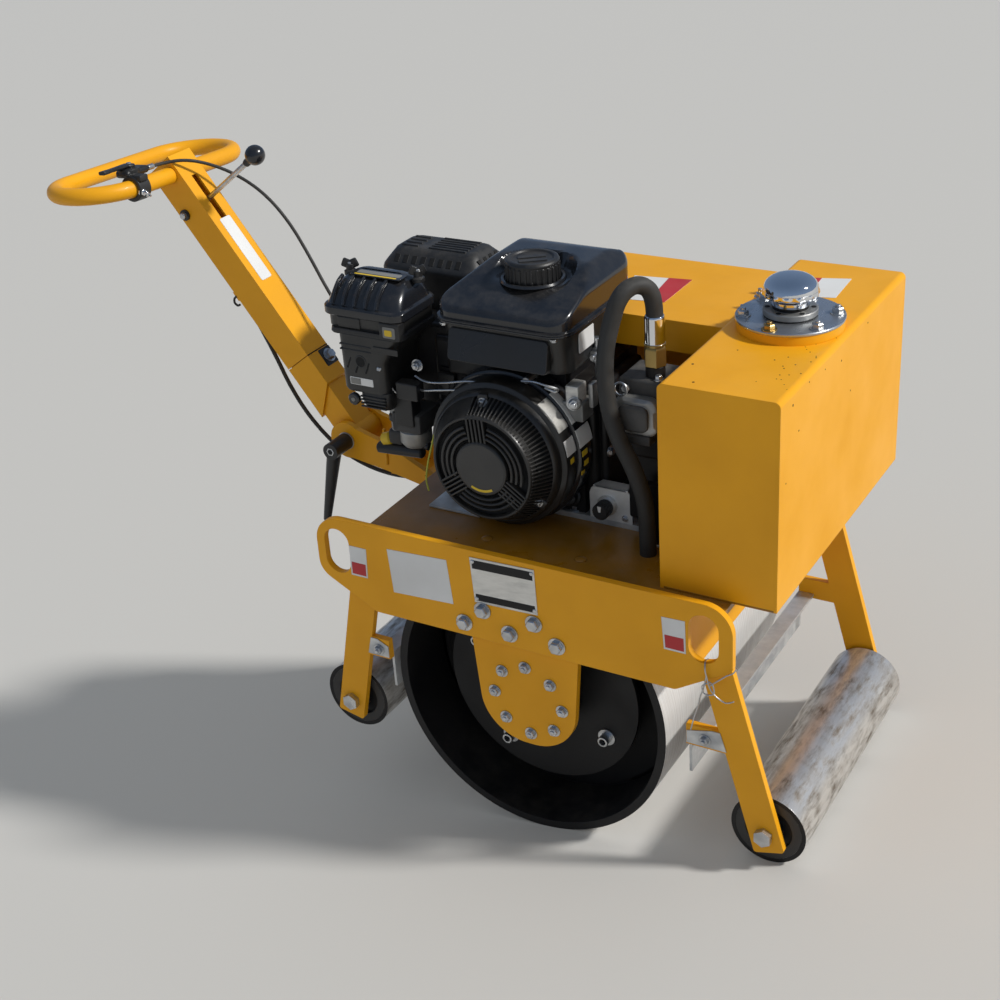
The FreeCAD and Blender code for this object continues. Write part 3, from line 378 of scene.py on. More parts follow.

# %% [markdown]
# Paint comes first. The machine's yellow is a worn outdoor gloss with little sheen, and the deck is
# the same paint, darkened to paint in the shade that the tank and engine cast on it. The black paints
# differ in gloss only, because that is how they are told apart on the machine.

# %% Paints
finish("yellow_paint", (0.83, 0.385, 0.008), (0.74, 0.335, 0.008), 0.40, coat=0.04, grain=220, blotch=7,
       dust=0.04, wear=0.25, wear_colour=(0.62, 0.34, 0.08, 1), specular=0.25)
# The deck's paint is the yellow darkened: painted shade from the tank and engine above it.
finish("deck_paint_painted_shade", (0.30, 0.135, 0.006), (0.20, 0.095, 0.008), 0.28, coat=0.2, grain=160, blotch=12,
       dust=0.14, wear=0.3, wear_colour=(0.45, 0.25, 0.08, 1), specular=0.4)
finish("black_paint", (0.007, 0.007, 0.008), (0.012, 0.011, 0.011), 0.46, grain=260, depth=0.12, blotch=12,
       dust=0.08, wear=0.3, wear_colour=(0.06, 0.06, 0.06, 1), specular=0.3)
finish("black_gloss", (0.008, 0.009, 0.012), (0.012, 0.013, 0.016), 0.20, coat=0.3, grain=240, depth=0.05,
       dust=0.10, wear=0.15, wear_colour=(0.05, 0.05, 0.055, 1))
finish("roller_end", (0.020, 0.020, 0.020), (0.034, 0.032, 0.030), 0.5, grain=200, depth=0.2, blotch=24,
       dust=0.05, wear=0.3)
print("paints:", len(finishes))

# %% [markdown]
# Bare metals are told apart by how polished they are and by what time did to them. Chrome is
# nearly a mirror, zinc is bright and grainy, and the support rollers have brown and grey stains.
# Most stay short of fully metallic, so that a grey sky doesn't turn them black.

# %% Bare metals
finish("bright_steel", (0.82, 0.82, 0.81), (0.64, 0.62, 0.60), 0.50, metallic=0.5, lines=(5, 340, 5),
       depth=0.25, dust=0.2, wear=0.2, wear_colour=(0.75, 0.74, 0.71, 1))
finish("roller_steel", (0.70, 0.68, 0.65), (0.20, 0.165, 0.13), 0.36, metallic=0.8, lines=(120, 26, 120),
       depth=0.4, blotch=30, dust=0.08, wear=0.5)
finish("galvanised", (0.66, 0.67, 0.67), (0.44, 0.45, 0.46), 0.46, metallic=0.65, grain=45, depth=0.18,
       blotch=38, dust=0.2, wear=0.2)
finish("zinc_bolt", (0.60, 0.61, 0.62), (0.42, 0.43, 0.44), 0.30, metallic=0.95, grain=300, depth=0.08,
       blotch=60, dust=0.1, wear=0.2, edge=0.0006)
# The brackets get a lighter copy of zinc: painted light, as if the sun reached them where the tank shades
# them.
finish("bracket_zinc_painted_light", (0.86, 0.87, 0.87), (0.66, 0.67, 0.67), 0.42, metallic=0.4, grain=200, depth=0.08,
       blotch=30, dust=0.05, wear=0.2)
finish("lid_steel", (0.55, 0.57, 0.60), (0.40, 0.42, 0.45), 0.30, metallic=0.9, lines=(60, 14, 14),
       blotch=20, dust=0.15, wear=0.2)
finish("chrome", (0.80, 0.81, 0.83), (0.72, 0.73, 0.75), 0.06, metallic=1.0, grain=30, depth=0.02,
       dust=0.04, wear=0.0)
finish("brass", (0.42, 0.30, 0.11), (0.30, 0.20, 0.07), 0.30, metallic=0.9, grain=200, depth=0.08, dust=0.1,
       wear=0.3, wear_colour=(0.6, 0.45, 0.2, 1), edge=0.0006)
finish("aluminium", (0.72, 0.71, 0.68), (0.56, 0.55, 0.52), 0.44, metallic=0.7, lines=(30, 30, 120),
       dust=0.1, wear=0.3)
finish("cast_alloy", (0.40, 0.40, 0.39), (0.26, 0.26, 0.25), 0.50, metallic=0.8, grain=420, depth=0.40,
       blotch=24, dust=0.2, wear=0.3)
finish("cast_grey", (0.075, 0.075, 0.075), (0.045, 0.045, 0.045), 0.58, metallic=0.3, grain=420, depth=0.45,
       blotch=24, dust=0.3, wear=0.35, wear_colour=(0.22, 0.22, 0.22, 1))
print("finishes so far:", len(finishes))

# %% [markdown]
# Plastic and rubber are all dark, so gloss, grain and the colour of a rubbed edge carry the
# difference. One nearly black finish paints the shade inside openings too deep to see into; the tank
# top's paint chips use it too.

# %% Plastics and rubber
finish("black_plastic", (0.011, 0.011, 0.012), (0.020, 0.020, 0.020), 0.40, grain=520, depth=0.20, blotch=18,
       dust=0.16, wear=0.2, wear_colour=(0.06, 0.06, 0.06, 1))
finish("dark_plastic", (0.016, 0.016, 0.016), (0.011, 0.011, 0.011), 0.36, coat=0.1, grain=620, depth=0.2,
       blotch=20, dust=0.16, wear=0.3, wear_colour=(0.07, 0.07, 0.07, 1))
finish("tub_plastic", (0.017, 0.017, 0.017), (0.012, 0.012, 0.012), 0.30, grain=400, depth=0.15, blotch=14,
       dust=0.12, wear=0.2, wear_colour=(0.09, 0.09, 0.09, 1))
finish("badge_grey", (0.045, 0.044, 0.042), (0.035, 0.034, 0.033), 0.45, grain=400, dust=0.1, wear=0.1)
# Near-black: painted shade in openings, and the colour of paint chips.
finish("painted_shade_and_chips", (0.003, 0.003, 0.003), (0.005, 0.005, 0.005), 0.8, dust=0.05, wear=0.0)
finish("rubber", (0.020, 0.020, 0.019), (0.034, 0.033, 0.031), 0.62, grain=500, depth=0.25, blotch=40,
       dust=0.2, wear=0.2, wear_colour=(0.09, 0.09, 0.085, 1))
finish("mount_rubber", (0.012, 0.012, 0.012), (0.020, 0.020, 0.019), 0.75, grain=300, depth=0.2, dust=0.3,
       wear=0.0)
print("finishes so far:", len(finishes))

# %% [markdown]
# Labels are thin flat sheets in plain colours, a little dusty. Their colours could be masks in the
# paint below them, but sheets keep a crisp edge at any distance. String is rough, without gloss.

# %% Labels and string
finish("white_label", (0.74, 0.75, 0.76), (0.66, 0.66, 0.66), 0.45, grain=30, depth=0.03, dust=0.1, wear=0.0)
finish("red_label", (0.52, 0.025, 0.03), (0.44, 0.02, 0.025), 0.40, grain=30, depth=0.03, dust=0.1, wear=0.0)
finish("yellow_print", (0.72, 0.50, 0.02), (0.62, 0.42, 0.02), 0.40, grain=30, depth=0.03, dust=0.1, wear=0.0)
finish("grey_print", (0.22, 0.22, 0.21), (0.16, 0.16, 0.155), 0.45, grain=200, depth=0.05, dust=0.1, wear=0.0)
finish("string", (0.52, 0.55, 0.08), (0.42, 0.44, 0.07), 0.8, grain=900, depth=0.4, dust=0.1, wear=0.0)
print("finishes:", len(finishes))

# %% [markdown]
# The parts are drawn in level millimetres by a few makers, and each maker gives back a bmesh, which
# can be moved, cut and joined before it becomes an object. The first makes a block: a cube, scaled
# to size. Its edges are softened at once instead of by a modifier, so each block has its own radius.

# %% Blocks
def moved(shape, *steps):
    """The shape after these matrices, the last one first."""
    for matrix in reversed(steps):
        bmesh.ops.transform(shape, matrix=matrix, verts=shape.verts)
    return shape


def shift(x, y, z):
    return Matrix.Translation((x, y, z))


def spin(degrees, axis):
    return Matrix.Rotation(math.radians(degrees), 4, axis)


def block(x, y, z, soft=1.5, segments=2):
    """A box between (low, high) values, with softened edges."""
    shape = bmesh.new()
    bmesh.ops.create_cube(shape, size=1.0)
    size = [high - low for low, high in (x, y, z)]
    centre = [(low + high) / 2 for low, high in (x, y, z)]
    moved(shape, shift(*centre), Matrix.Diagonal((*size, 1)))
    reach = min(soft, min(size) * 0.45)
    bmesh.ops.bevel(shape, geom=shape.edges[:], offset=reach, segments=segments, profile=0.5, affect="EDGES")
    return shape


print("spin and shift:", spin(90, "Z") @ Vector(AHEAD), shift(1, 2, 3) @ Vector())

# %% [markdown]
# Turned forms, sheets, mouldings and bars are one idea: a skin over a row of outlines. A turned form's
# outlines are its rings, a sheet has two, a moulding has one per level, and a bar has one per bend.
# Screw, Solidify and Skin are the modifiers for these. One function is easier to follow than three
# modifiers, and gives the same faces every time. A ring of one point is a tip.

# %% Skins
def skin(sections, caps=True, closed=False):
    """A form over a row of outlines; closed joins the last to the first."""
    shape = bmesh.new()
    rings = [[shape.verts.new(point) for point in section] for section in sections]
    count = max(len(ring) for ring in rings)
    for low, high in zip(rings, rings[1:] + rings[:1] if closed else rings[1:]):
        for k in range(count):
            n = k + 1
            corners = (low[k % len(low)], low[n % len(low)], high[n % len(high)], high[k % len(high)])
            shape.faces.new(list(dict.fromkeys(corners)))
    for ring in (rings[0], rings[-1]):
        if caps and not closed and len(ring) > 1:
            shape.faces.new(ring)
    return shape


def circle(radius, steps):
    """Points (u, v) round a circle."""
    angles = [math.tau * k / steps for k in range(steps)]
    return [(radius * math.cos(angle), radius * math.sin(angle)) for angle in angles]


def turned(profile, origin=(0, 0, 0), axis=UP, steps=48, caps=True):
    """A form turned about an axis; the profile is a list of (radius, height)."""
    place = shift(*origin) @ Vector(UP).rotation_difference(Vector(axis)).to_matrix().to_4x4()
    return skin([[place @ Vector((u, v, height)) for u, v in circle(radius, steps if radius > 1e-6 else 1)]
                 for radius, height in profile], caps)


print("turned faces of a ring:", len(turned([(10, 0), (10, 5)], steps=8).faces))

# %% [markdown]
# A rod is a turned form with softened ends. A bolt is a washer and a six-sided turned head with
# its crown, and sometimes the stud's end above it. Fasteners are small, but they are everywhere.

# %% Rods and bolts
def join(shape, other):
    """Adds another bmesh to a bmesh, and frees it."""
    mesh = bpy.data.meshes.new("part")
    other.to_mesh(mesh)
    other.free()
    shape.from_mesh(mesh)
    bpy.data.meshes.remove(mesh)
    return shape


def rod(origin, axis, radius, length, soft=1.0, steps=32):
    """A round bar with softened ends."""
    soft = min(soft, radius * 0.45, length * 0.45)
    profile = [(radius - soft, 0), (radius, soft), (radius, length - soft), (radius - soft, length)]
    return turned(profile, origin, axis, steps)


def bolt(origin, axis, radius=8.0, height=6.5, stud=0.0, washer=1.5):
    """A washer, a hexagon head with its turned crown, and where asked a stud's end."""
    direction = Vector(axis).normalized()
    top = Vector(origin) + direction * washer
    shape = turned([(radius * 1.35, 0), (radius * 1.35, washer)], origin, axis, 28)
    join(shape, turned([(radius, 0), (radius, height * 0.82), (radius * 0.84, height)], top, axis, 6))
    if stud:
        join(shape, rod(top + direction * (height - 0.5), axis, radius * 0.5, stud, 0.6, 16))
    return shape


print("faces of a bolt:", len(bolt((0, 0, 0), UP, stud=3).faces))

# %% [markdown]
# A plate is a sheet cut to an outline. The outline is drawn in the plane that it is seen in: from
# the side, in plan or from the front. A moulding is stacked from level rounded rectangles, because
# a moulding has to leave its mould, so it tapers from one outline to the next. Both keep clean faces,
# which a cut by a boolean wouldn't.

# %% Plates and mouldings
PLANES = {
    "side": lambda u, v, w: (u, w, v),
    "plan": lambda u, v, w: (u, v, w),
    "front": lambda u, v, w: (w, u, v),
}


def plate(outline, plane, low, high, soft=0.5):
    """A sheet cut to an outline (u, v) in a plane, between two distances from it."""
    shape = skin([[PLANES[plane](u, v, w) for u, v in outline] for w in (low, high)])
    rim = list({edge for cap in list(shape.faces)[-2:] for edge in cap.edges})
    bmesh.ops.bevel(shape, geom=rim, offset=min(soft, abs(high - low) * 0.4), segments=2, profile=0.5,
                    affect="EDGES", clamp_overlap=True)
    return shape


def rounded_outline(low_u, high_u, low_v, high_v, radius, steps=6):
    """A rectangle with rounded corners, as points."""
    points = []
    for cu, cv, first in ((high_u - radius, high_v - radius, 0), (low_u + radius, high_v - radius, 90),
                          (low_u + radius, low_v + radius, 180), (high_u - radius, low_v + radius, 270)):
        for k in range(steps + 1):
            angle = math.radians(first + 90 * k / steps)
            points.append((cu + radius * math.cos(angle), cv + radius * math.sin(angle)))
    return points


def stacked(levels, steps=6):
    """A skin over level rounded rectangles: (low x, high x, low y, high y, corner radius, z)."""
    return skin([[(u, v, z) for u, v in rounded_outline(*level, steps)] for *level, z in levels])


print("points of an outline:", len(rounded_outline(0, 10, 0, 10, 2)))

# %% [markdown]
# Wires and rails are round bars along a path. A curve object with a bevel looks the same, but a mesh
# can be joined with the rest of its piece. The path is a smooth curve through a few given points,
# and each ring's side is carried on from the ring before, so the bar doesn't twist.

# %% Bars along a path
def smooth_path(points, cuts=6):
    """Points on a smooth curve through the given ones."""
    points = [Vector(p) for p in points]
    path = []
    for i in range(len(points) - 1):
        a, b, c, d = [points[min(max(i + k, 0), len(points) - 1)] for k in (-1, 0, 1, 2)]
        for k in range(cuts):
            t = k / cuts
            path.append(0.5 * ((2 * b) + (c - a) * t + (2 * a - 5 * b + 4 * c - d) * t * t
                               + (3 * b - a - 3 * c + d) * t * t * t))
    return path + [points[-1]]


def round_bar(path, radius, steps=10, closed=False):
    """A round bar along a path of points."""
    path = [Vector(p) for p in path]
    count = len(path)
    side = None
    rings = []
    for i in range(count):
        before = path[i - 1] if closed or i else path[i]
        after = path[(i + 1) % count] if closed or i < count - 1 else path[i]
        ahead = (after - before).normalized()
        side = side or ahead.orthogonal()
        side = (side - ahead * side.dot(ahead)).normalized()
        other = ahead.cross(side)
        rings.append([path[i] + side * u + other * v for u, v in circle(radius, steps)])
    return skin(rings, closed=closed)


print("points of a path:", len(smooth_path([(0, 0, 0), AHEAD, (1, 1, 0)])))

# %% [markdown]
# A piece is made of shapes that share one object. They are given by finish, so every finish is one
# material slot. Flat faces stay flat and round ones smooth, because edges sharper than 38 degrees
# are marked and the normals are weighted by face size. The piece rides on its body, and replaces
# the frame's own solids where it stands for them.

# %% A piece from its parts
SHARP = math.radians(38)


def build(name, parts, body="frame", nodes=()):
    """Joins shapes, given as {finish: [shapes]}, into one piece that rides on a body."""
    whole = bmesh.new()
    mesh = bpy.data.meshes.new(name)
    for number, (look, shapes) in enumerate(parts.items()):
        mesh.materials.append(finishes[look])
        for shape in shapes:
            for face in shape.faces:
                face.material_index = number
                face.smooth = True
            bmesh.ops.recalc_face_normals(shape, faces=shape.faces)
            join(whole, shape)
    whole.to_mesh(mesh)
    whole.free()
    mesh.transform(LEVEL)
    mesh.set_sharp_from_angle(angle=SHARP)
    piece = in_scene(name, mesh)
    piece.modifiers.new("even_normals", "WEIGHTED_NORMAL").keep_sharp = True
    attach(piece, body)
    if nodes:
        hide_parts(*nodes)
    print(name, len(mesh.polygons), "faces")


print("pieces are sharp over", round(math.degrees(SHARP)), "degrees")

# %% [markdown]
# The column folds on a pivot behind the engine, and the ring sits on the column's end, tilted a
# little. Both have their own directions, so what is fixed to them is placed up along the column or
# within the ring, as it would be by hand.

# %% Places on the column and the ring
PIVOT = Vector((-393.0, 0, 260.0))
COLUMN_ANGLE = math.radians(53)
up_column = Vector((-math.cos(COLUMN_ANGLE), 0, math.sin(COLUMN_ANGLE)))
off_column = Vector((math.sin(COLUMN_ANGLE), 0, math.cos(COLUMN_ANGLE)))
COLUMN = Matrix((off_column, TO_LEFT, up_column)).transposed().to_4x4()
COLUMN.translation = PIVOT
RING_DEPTH = 137.0
RING = shift(-741, 0, 637) @ spin(-4.0, "Y") @ spin(-2.8, "X")


def on_column(distance, out=0.0, y=0.0):
    """A point up the column from the pivot, out from its axis towards its front face."""
    return COLUMN @ Vector((out, y, distance))


def from_housing(distance):
    """A point straight out of the throttle lever's housing."""
    return RING @ Vector((RING_DEPTH / 2 - 3.75, -64 + distance, 21))


print("the column's end is at", [round(v) for v in on_column(500)])

# %% [markdown]
# Hose and cables come before the other pieces, because they set the frame's room. A hydraulic hose
# is stiff rubber: it rises from its ferrule, loops over and drops beside the pump. Each route is the
# list of points that the frame's tube follows, given to a smooth NURBS line as its control points.

# %% Hydraulic hose
HOSE_DIAMETER = 0.023
HOSE_ROUTE = [
    (140, -64, 550), (140, -64, 567), (135, -69, 588), (123, -86, 597), (111, -105, 586), (101, -110, 551),
    (95, -117, 515), (95, -120, 479), (98, -121, 443), (111, -123, 400), (133, -122, 358), (147, -119, 315),
    (150, -118, 272), (150, -118, 230),
]


def route_curve(name, route, diameter):
    """A smooth line whose control points are the route, as thick as the cord."""
    curve = bpy.data.curves.new(name, "CURVE")
    curve.dimensions = "3D"
    line = curve.splines.new("NURBS")
    line.points.add(len(route) - 1)
    for point, place in zip(line.points, route):
        point.co = (*in_frame(place), 1)
    line.order_u = 3
    line.use_endpoint_u = True
    line.resolution_u = 10
    curve.bevel_depth = diameter / 2
    curve.bevel_resolution = 5
    curve.use_fill_caps = True
    return curve


hose_curve = route_curve("pressure_hose", HOSE_ROUTE, HOSE_DIAMETER)
hose_curve.materials.append(finishes["rubber"])
hose = in_scene("pressure_hose", hose_curve)
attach(hose, "frame")
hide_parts("hydraulic_hose")

# %% [markdown]
# The two cables cross the handle's hinge. Each cable's curve is turned into a mesh in the frame's
# space, and its centre line is also read from the same curve without thickness.

# %% Cables over the hinge
THROTTLE_DIAMETER = 0.005
THROTTLE_LENGTH = 0.644
CONTROL_DIAMETER = 0.0064
CONTROL_LENGTH = 0.456
THROTTLE_ROUTE = [
    from_housing(0), from_housing(22), (-650, -14, 667), (-624, 16, 653), (-590, 36, 632), (-548, 40, 606),
    (-511, 40, 568), (-480, 37, 522), (-448, 30, 474), (-412, 20, 435), (-368, 6, 410), (-318, -8, 396),
    (-268, -18, 389), (-226, -22, 387), (-196, -22, 387),
]
CONTROL_ROUTE = [
    on_column(268, -32.5, -10), on_column(240, -32.5, -10), on_column(208, -37, -10), (-527, -12, 366),
    (-509, -12, 324), (-485, -11, 283), (-455, -10, 249), (-420, -9, 222), (-378, -8, 206), (-334, -9, 201),
    (-292, -10, 205), (-253, -10, 205),
]


def crossing_cable(name, replaced, route, diameter, length):
    """A cable's mesh, made from its route's curve."""
    curve = route_curve(name + "_line", route, diameter)
    carrier = in_scene(name + "_line", curve)
    mesh = bpy.data.meshes.new_from_object(carrier)
    curve.bevel_depth = 0
    line = bpy.data.meshes.new_from_object(carrier)
    bpy.data.objects.remove(carrier)
    for polygon in mesh.polygons:
        polygon.use_smooth = True
    mesh.materials.clear()
    mesh.materials.append(finishes["rubber"])
    piece = in_scene(name, mesh)
    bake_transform(piece)
    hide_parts(replaced)
    print(name, length, "m long")


crossing_cable("throttle_wire", "throttle_cable", THROTTLE_ROUTE, THROTTLE_DIAMETER, THROTTLE_LENGTH)
crossing_cable("control_wire", "control_cable", CONTROL_ROUTE, CONTROL_DIAMETER, CONTROL_LENGTH)

# %% [markdown]
# Most of the frame's own solids already have the right form, and only need their finish. A node
# with two finishes, such as the drum with its bare outside and painted inside, gets a second slot,
# and a rule says which faces take it: those that look away from the axis, at the outer radius.

# %% Paint the frame's own nodes
PAINTED = {
    "yellow_paint": ("side_plate_right", "side_plate_left", "drum_hangers", "cross_wall", "front_legs",
                     "rear_legs", "oil_tank", "drive_cover", "belt_guard", "handle_bracket", "column_tube",
                     "column_sleeve", "column_core", "handle_ring"),
    # The deck plate takes the darkened deck paint, which is painted shade.
    "deck_paint_painted_shade": ("deck_plate",),
    "black_paint": ("drum_shell", "drum_webs", "carrier_discs", "drum_spindles", "front_roller",
                    "front_roller_ends", "rear_roller", "rear_roller_ends", "engine_block", "engine_pulley",
                    "exhaust_flange"),
    "galvanised": ("front_scraper", "rear_scraper", "engine_base"),
    "zinc_bolt": ("front_axle", "rear_axle", "pivot_pin"),
    "mount_rubber": ("rubber_mounts",),
    "black_plastic": ("clamp_lever",),
}
for look, names in PAINTED.items():
    for name in names:
        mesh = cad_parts[name].data
        mesh.materials.clear()
        mesh.materials.append(finishes[look])
print("painted", sum(len(names) for names in PAINTED.values()), "nodes")

TO_LEVEL = LEVEL.inverted()
for name, look, (x, z), radius in (
    ("drum_shell", "bright_steel", (0, 0), DRUM_RADIUS),
    ("front_roller", "roller_steel", FRONT_AXLE, ROLLER_RADIUS),
    ("rear_roller", "roller_steel", REAR_AXLE, ROLLER_RADIUS),
):
    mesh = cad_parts[name].data
    mesh.materials.append(finishes[look])
    for polygon in mesh.polygons:
        place = TO_LEVEL @ polygon.center
        normal = (TO_LEVEL.to_3x3() @ polygon.normal).normalized()
        away = Vector((place.x - x, 0, place.z - z))
        polygon.material_index = int(away.length > radius - 1.0 and away.normalized().dot(normal) > 0.7)
    print(name, sum(polygon.material_index for polygon in mesh.polygons), "faces of", look)

# %% [markdown]
# Bolts tell a viewer how the machine is put together. On the right, five large ones hold the drum's
# hanger to its side plate, and eight small ones ring the drum's bearing. On both sides, studs with
# nuts come through the rubber mounts inside the drum, and a weld bead rings the drum's web. Copies
# of one bolt object would do, but joined heads stay one piece, and short tables say where they go.

# %% Bolts of the drum
PLATE_FACE = 222.0
PLATE_INNER = 212.0
DISC_FACE = 160.0
MOUNT_CIRCLE = 115.0
WEB_FACE = 108.0
DRUM_INSIDE = 200.5
PLATE_BOLTS = ((-83, 122), (-52, 149), (-11, 122), (28, 148), (62, 121))
BEARING_BOLTS = ((-34, 49), (3.5, 64.5), (-48, 12), (42, 46), (-32, -28), (59, 7.5), (7, -45), (44.5, -29))

heads = [bolt((x, -PLATE_FACE, z), TO_RIGHT, 9.5, 7.5, 0, 2) for x, z in PLATE_BOLTS]
heads += [bolt((x, -PLATE_INNER, z), TO_RIGHT, 7.0, 5.5, 2.0, 1.5) for x, z in BEARING_BOLTS]
build("hanger_bolts_right", {"zinc_bolt": heads})

weld_beads = []
for word, side in (("right", -1), ("left", 1)):
    out = (0, side, 0)
    studs = {"zinc_bolt": [], "painted_shade_and_chips": []}
    for angle in (-30, 60, 150, 240):
        x, _, z = spin(-angle, "Y") @ Vector((MOUNT_CIRCLE, 0, 0))
        face = (x, side * DISC_FACE, z)
        studs["zinc_bolt"] += [
            turned([(13, 0), (13, 2)], face, out, 28),
            turned([(8, 2), (8, 14), (7.4, 15), (5, 15), (5, 8), (0, 8)], face, out, 28)]
        # A near-black disc in each stud's bore: painted shade.
        studs["painted_shade_and_chips"].append(turned([(4.9, 8.1), (4.9, 8.6), (0, 8.6)], face, out, 20))
    build("mount_studs_" + word, studs, "drum")
    bead = [(DRUM_INSIDE - 5, 0), (DRUM_INSIDE, 0), (DRUM_INSIDE, 5)]
    weld_beads.append(turned(bead, (0, side * WEB_FACE, 0), out, 96, caps=False))
build("drum_weld_beads", {"black_paint": weld_beads}, "drum")

# %% [markdown]
# Small round things finish the chassis: a domed rivet at each end of the deck, and the black end
# plates of the support rollers. The plates are rings that ride on the rollers, so they turn with
# them. Both are turned from short profiles, since a squashed sphere has no rim.

# %% Deck rivets and roller ends
ROLLER_FACE = 191.0
for word, x in (("rear", -70), ("front", 75)):
    dome = turned([(8, 0), (8, 1.0), (6.4, 2.2), (3.4, 2.8), (0, 3.0)], (x, -169, 229.9), steps=24)
    # The rivets take the deck's darkened paint, so they carry its painted shade too.
    build("deck_rivet_" + word, {"deck_paint_painted_shade": [dome]})
for word, (x, z) in (("front", FRONT_AXLE), ("rear", REAR_AXLE)):
    profile = [(33, -1), (33, 5), (34, 6), (46.8, 6), (46.8, -1), (33, -1)]
    ends = [turned(profile, (x, side * ROLLER_FACE, z), (0, side, 0), 64, caps=False) for side in (-1, 1)]
    build(word + "_roller_plates", {"roller_end": ends}, word + "_roller")

# %% [markdown]
# Each scraper bar is held by a thin galvanised cover plate with one bolt, between its leg and the
# drum. The legs rake outwards. The plate's outer edge is worked out from the rake instead of from
# typed points, so plate and leg can't drift apart.

# %% Scraper cover plates
ARM_OUTER = 213.6
covers = {"galvanised": [], "zinc_bolt": []}
for axle, forward, gap, rake, top in ((FRONT_AXLE, 1, 33.0, 0.281, 20.0), (REAR_AXLE, -1, 12.0, 0.213, 23.0)):
    near = forward * (DRUM_RADIUS + gap)
    high, low = top + 24, top - 8
    leg_high, leg_top, leg_low = [axle[0] + forward * (rake * (axle[1] - z) - 22) for z in (high, top, low)]
    outline = [(near + forward, low + 3), (near + forward, high - 10), (leg_high - forward * 10, high - 1),
               (leg_high + forward, high - 1), (leg_low + forward, low + 3)]
    for side in (-1, 1):
        bolt_at = ((near + leg_top) / 2, side * ARM_OUTER, top + 6)
        covers["galvanised"].append(plate(outline, "side", side * (PLATE_INNER + 0.2), side * ARM_OUTER, 0.3))
        covers["zinc_bolt"].append(bolt(bolt_at, (0, side, 0), 6.5, 5.0, 3.0, 1.4))
build("scraper_plates", covers)

# %% [markdown]
# The front slot is tied with soft wire, and its ends stick out. Four short paths that cross look
# like one tangled wire, and are easier to place than a single long one.

# %% Tie wire through the front slot
WIRES = (
    ((275, -207, 150), (277, -220, 155), (279, -226, 146), (282, -227, 134), (287, -228, 120),
     (296, -228, 110), (308, -227, 104), (319, -227, 109)),
    ((281, -226, 138), (278, -228, 120), (273, -228, 104), (270, -227, 90), (263, -226, 66), (258, -225, 46)),
    ((286, -227, 124), (298, -229, 136), (309, -228, 146), (318, -227, 152), (322, -226, 160)),
    ((284, -227, 128), (276, -229, 122), (280, -230, 112), (292, -229, 114), (290, -227, 126),
     (282, -226, 130)),
)
wires = [round_bar(smooth_path(path, 5), 1.0, 8) for path in WIRES]
build("tie_wire", {"zinc_bolt": wires})

# %% [markdown]
# Labels and plates on the side are plain: paper white, red and white, and a bare aluminium plate
# with four rivets and two dark bands. Each is a thin sheet cut to its outline, so it has an edge
# that catches light. A corner that isn't square is given as it lies on the real plate.

# %% Labels on the right side plate
LABEL_THICKNESS = 0.5
PAPER = ((-203, 211), (-105, 216), (-99, 147), (-198, 142))
RATING = ((-67, 230), (33, 233), (35, 163), (-63, 160))
SIGNS = (((217, 208), (250, 209), (251, 160), (220, 160)),
         ((-268, 202), (-239, 202), (-241, 154), (-269, 154)))


def side_label(points, lift=0.0, thickness=LABEL_THICKNESS):
    low = -PLATE_FACE - lift
    return plate(points, "side", low, low - thickness, 0.15)


def inside(points, u0, u1, v0, v1):
    """A smaller four-cornered outline within a larger one, by shares of its width and height."""
    a, b, c, d = [Vector(p) for p in points]
    corners = ((u0, v0), (u1, v0), (u1, v1), (u0, v1))
    return [tuple(a.lerp(b, u).lerp(d.lerp(c, u), v)) for u, v in corners]


rivets = [inside(RATING, u, u, v, v)[0] for u, v in ((0.04, 0.09), (0.96, 0.09), (0.96, 0.91), (0.04, 0.91))]
build("side_labels", {
    "white_label": [side_label(PAPER)] + [side_label(sign) for sign in SIGNS],
    "aluminium": [side_label(RATING, thickness=1.2)],
    "red_label": [side_label(inside(sign, 0.08, 0.92, 0.54, 0.94), 0.4, 0.3) for sign in SIGNS],
    "black_paint": [side_label(inside(RATING, 0.03, 0.97, low, high), 1.1, 0.3)
                    for low, high in ((0.05, 0.24), (0.80, 0.95))],
    "zinc_bolt": [turned([(3.2, 0), (2.6, 1.2), (0, 1.8)], (x, -PLATE_FACE - 1.2, z), TO_RIGHT, 16)
                  for x, z in rivets],
})

# %% [markdown]
# The oil tank carries a lid on a welded ring, with six bolts, one of them brass. The frame's own lid
# is a plain disc. Two turned profiles in two finishes show the gap between ring and lid, which no
# material could.

# %% Tank lid
LID = Vector((283.0, 40.0, 517.0))
TANK_TOP = LID.z


def over_lid(*profile, steps=64):
    """A form turned about the lid's axis, its heights measured from the tank's top."""
    return turned(profile, LID, steps=steps)


def round_lid(radius, degrees, height):
    """A point round the lid's axis."""
    return LID + spin(degrees, "Z") @ Vector((radius, 0, height))


BOLT_PLACES = [round_lid(60, angle, 16) for angle in (205, 325, 25, 85, 145, 265)]
lid_bolts = [bolt(place, UP, 7.6, 6.6, 3.5, 1.4) for place in BOLT_PLACES]
build("tank_lid_dressed", {
    "yellow_paint": [over_lid((70, 0), (70, 11.2), (69.4, 12), (60, 12))],
    "lid_steel": [over_lid((70.2, 12), (71, 12.8), (71, 15.2), (70.2, 16), (30, 16))],
    "zinc_bolt": lid_bolts[:5],
    "brass": lid_bolts[5:],
}, nodes=("tank_lid",))

# %% [markdown]
# The breather is turned: a grey flange on a dark gasket, a narrow neck and a polished dome with a
# rolled rim. Chrome shows the sky and the floor, so its form is the whole look, and its profile
# gets the most points. Its skirt is crimped in fourteen waves, which a plain turned form can't have,
# so it is a skin over rings whose radius goes up and down.

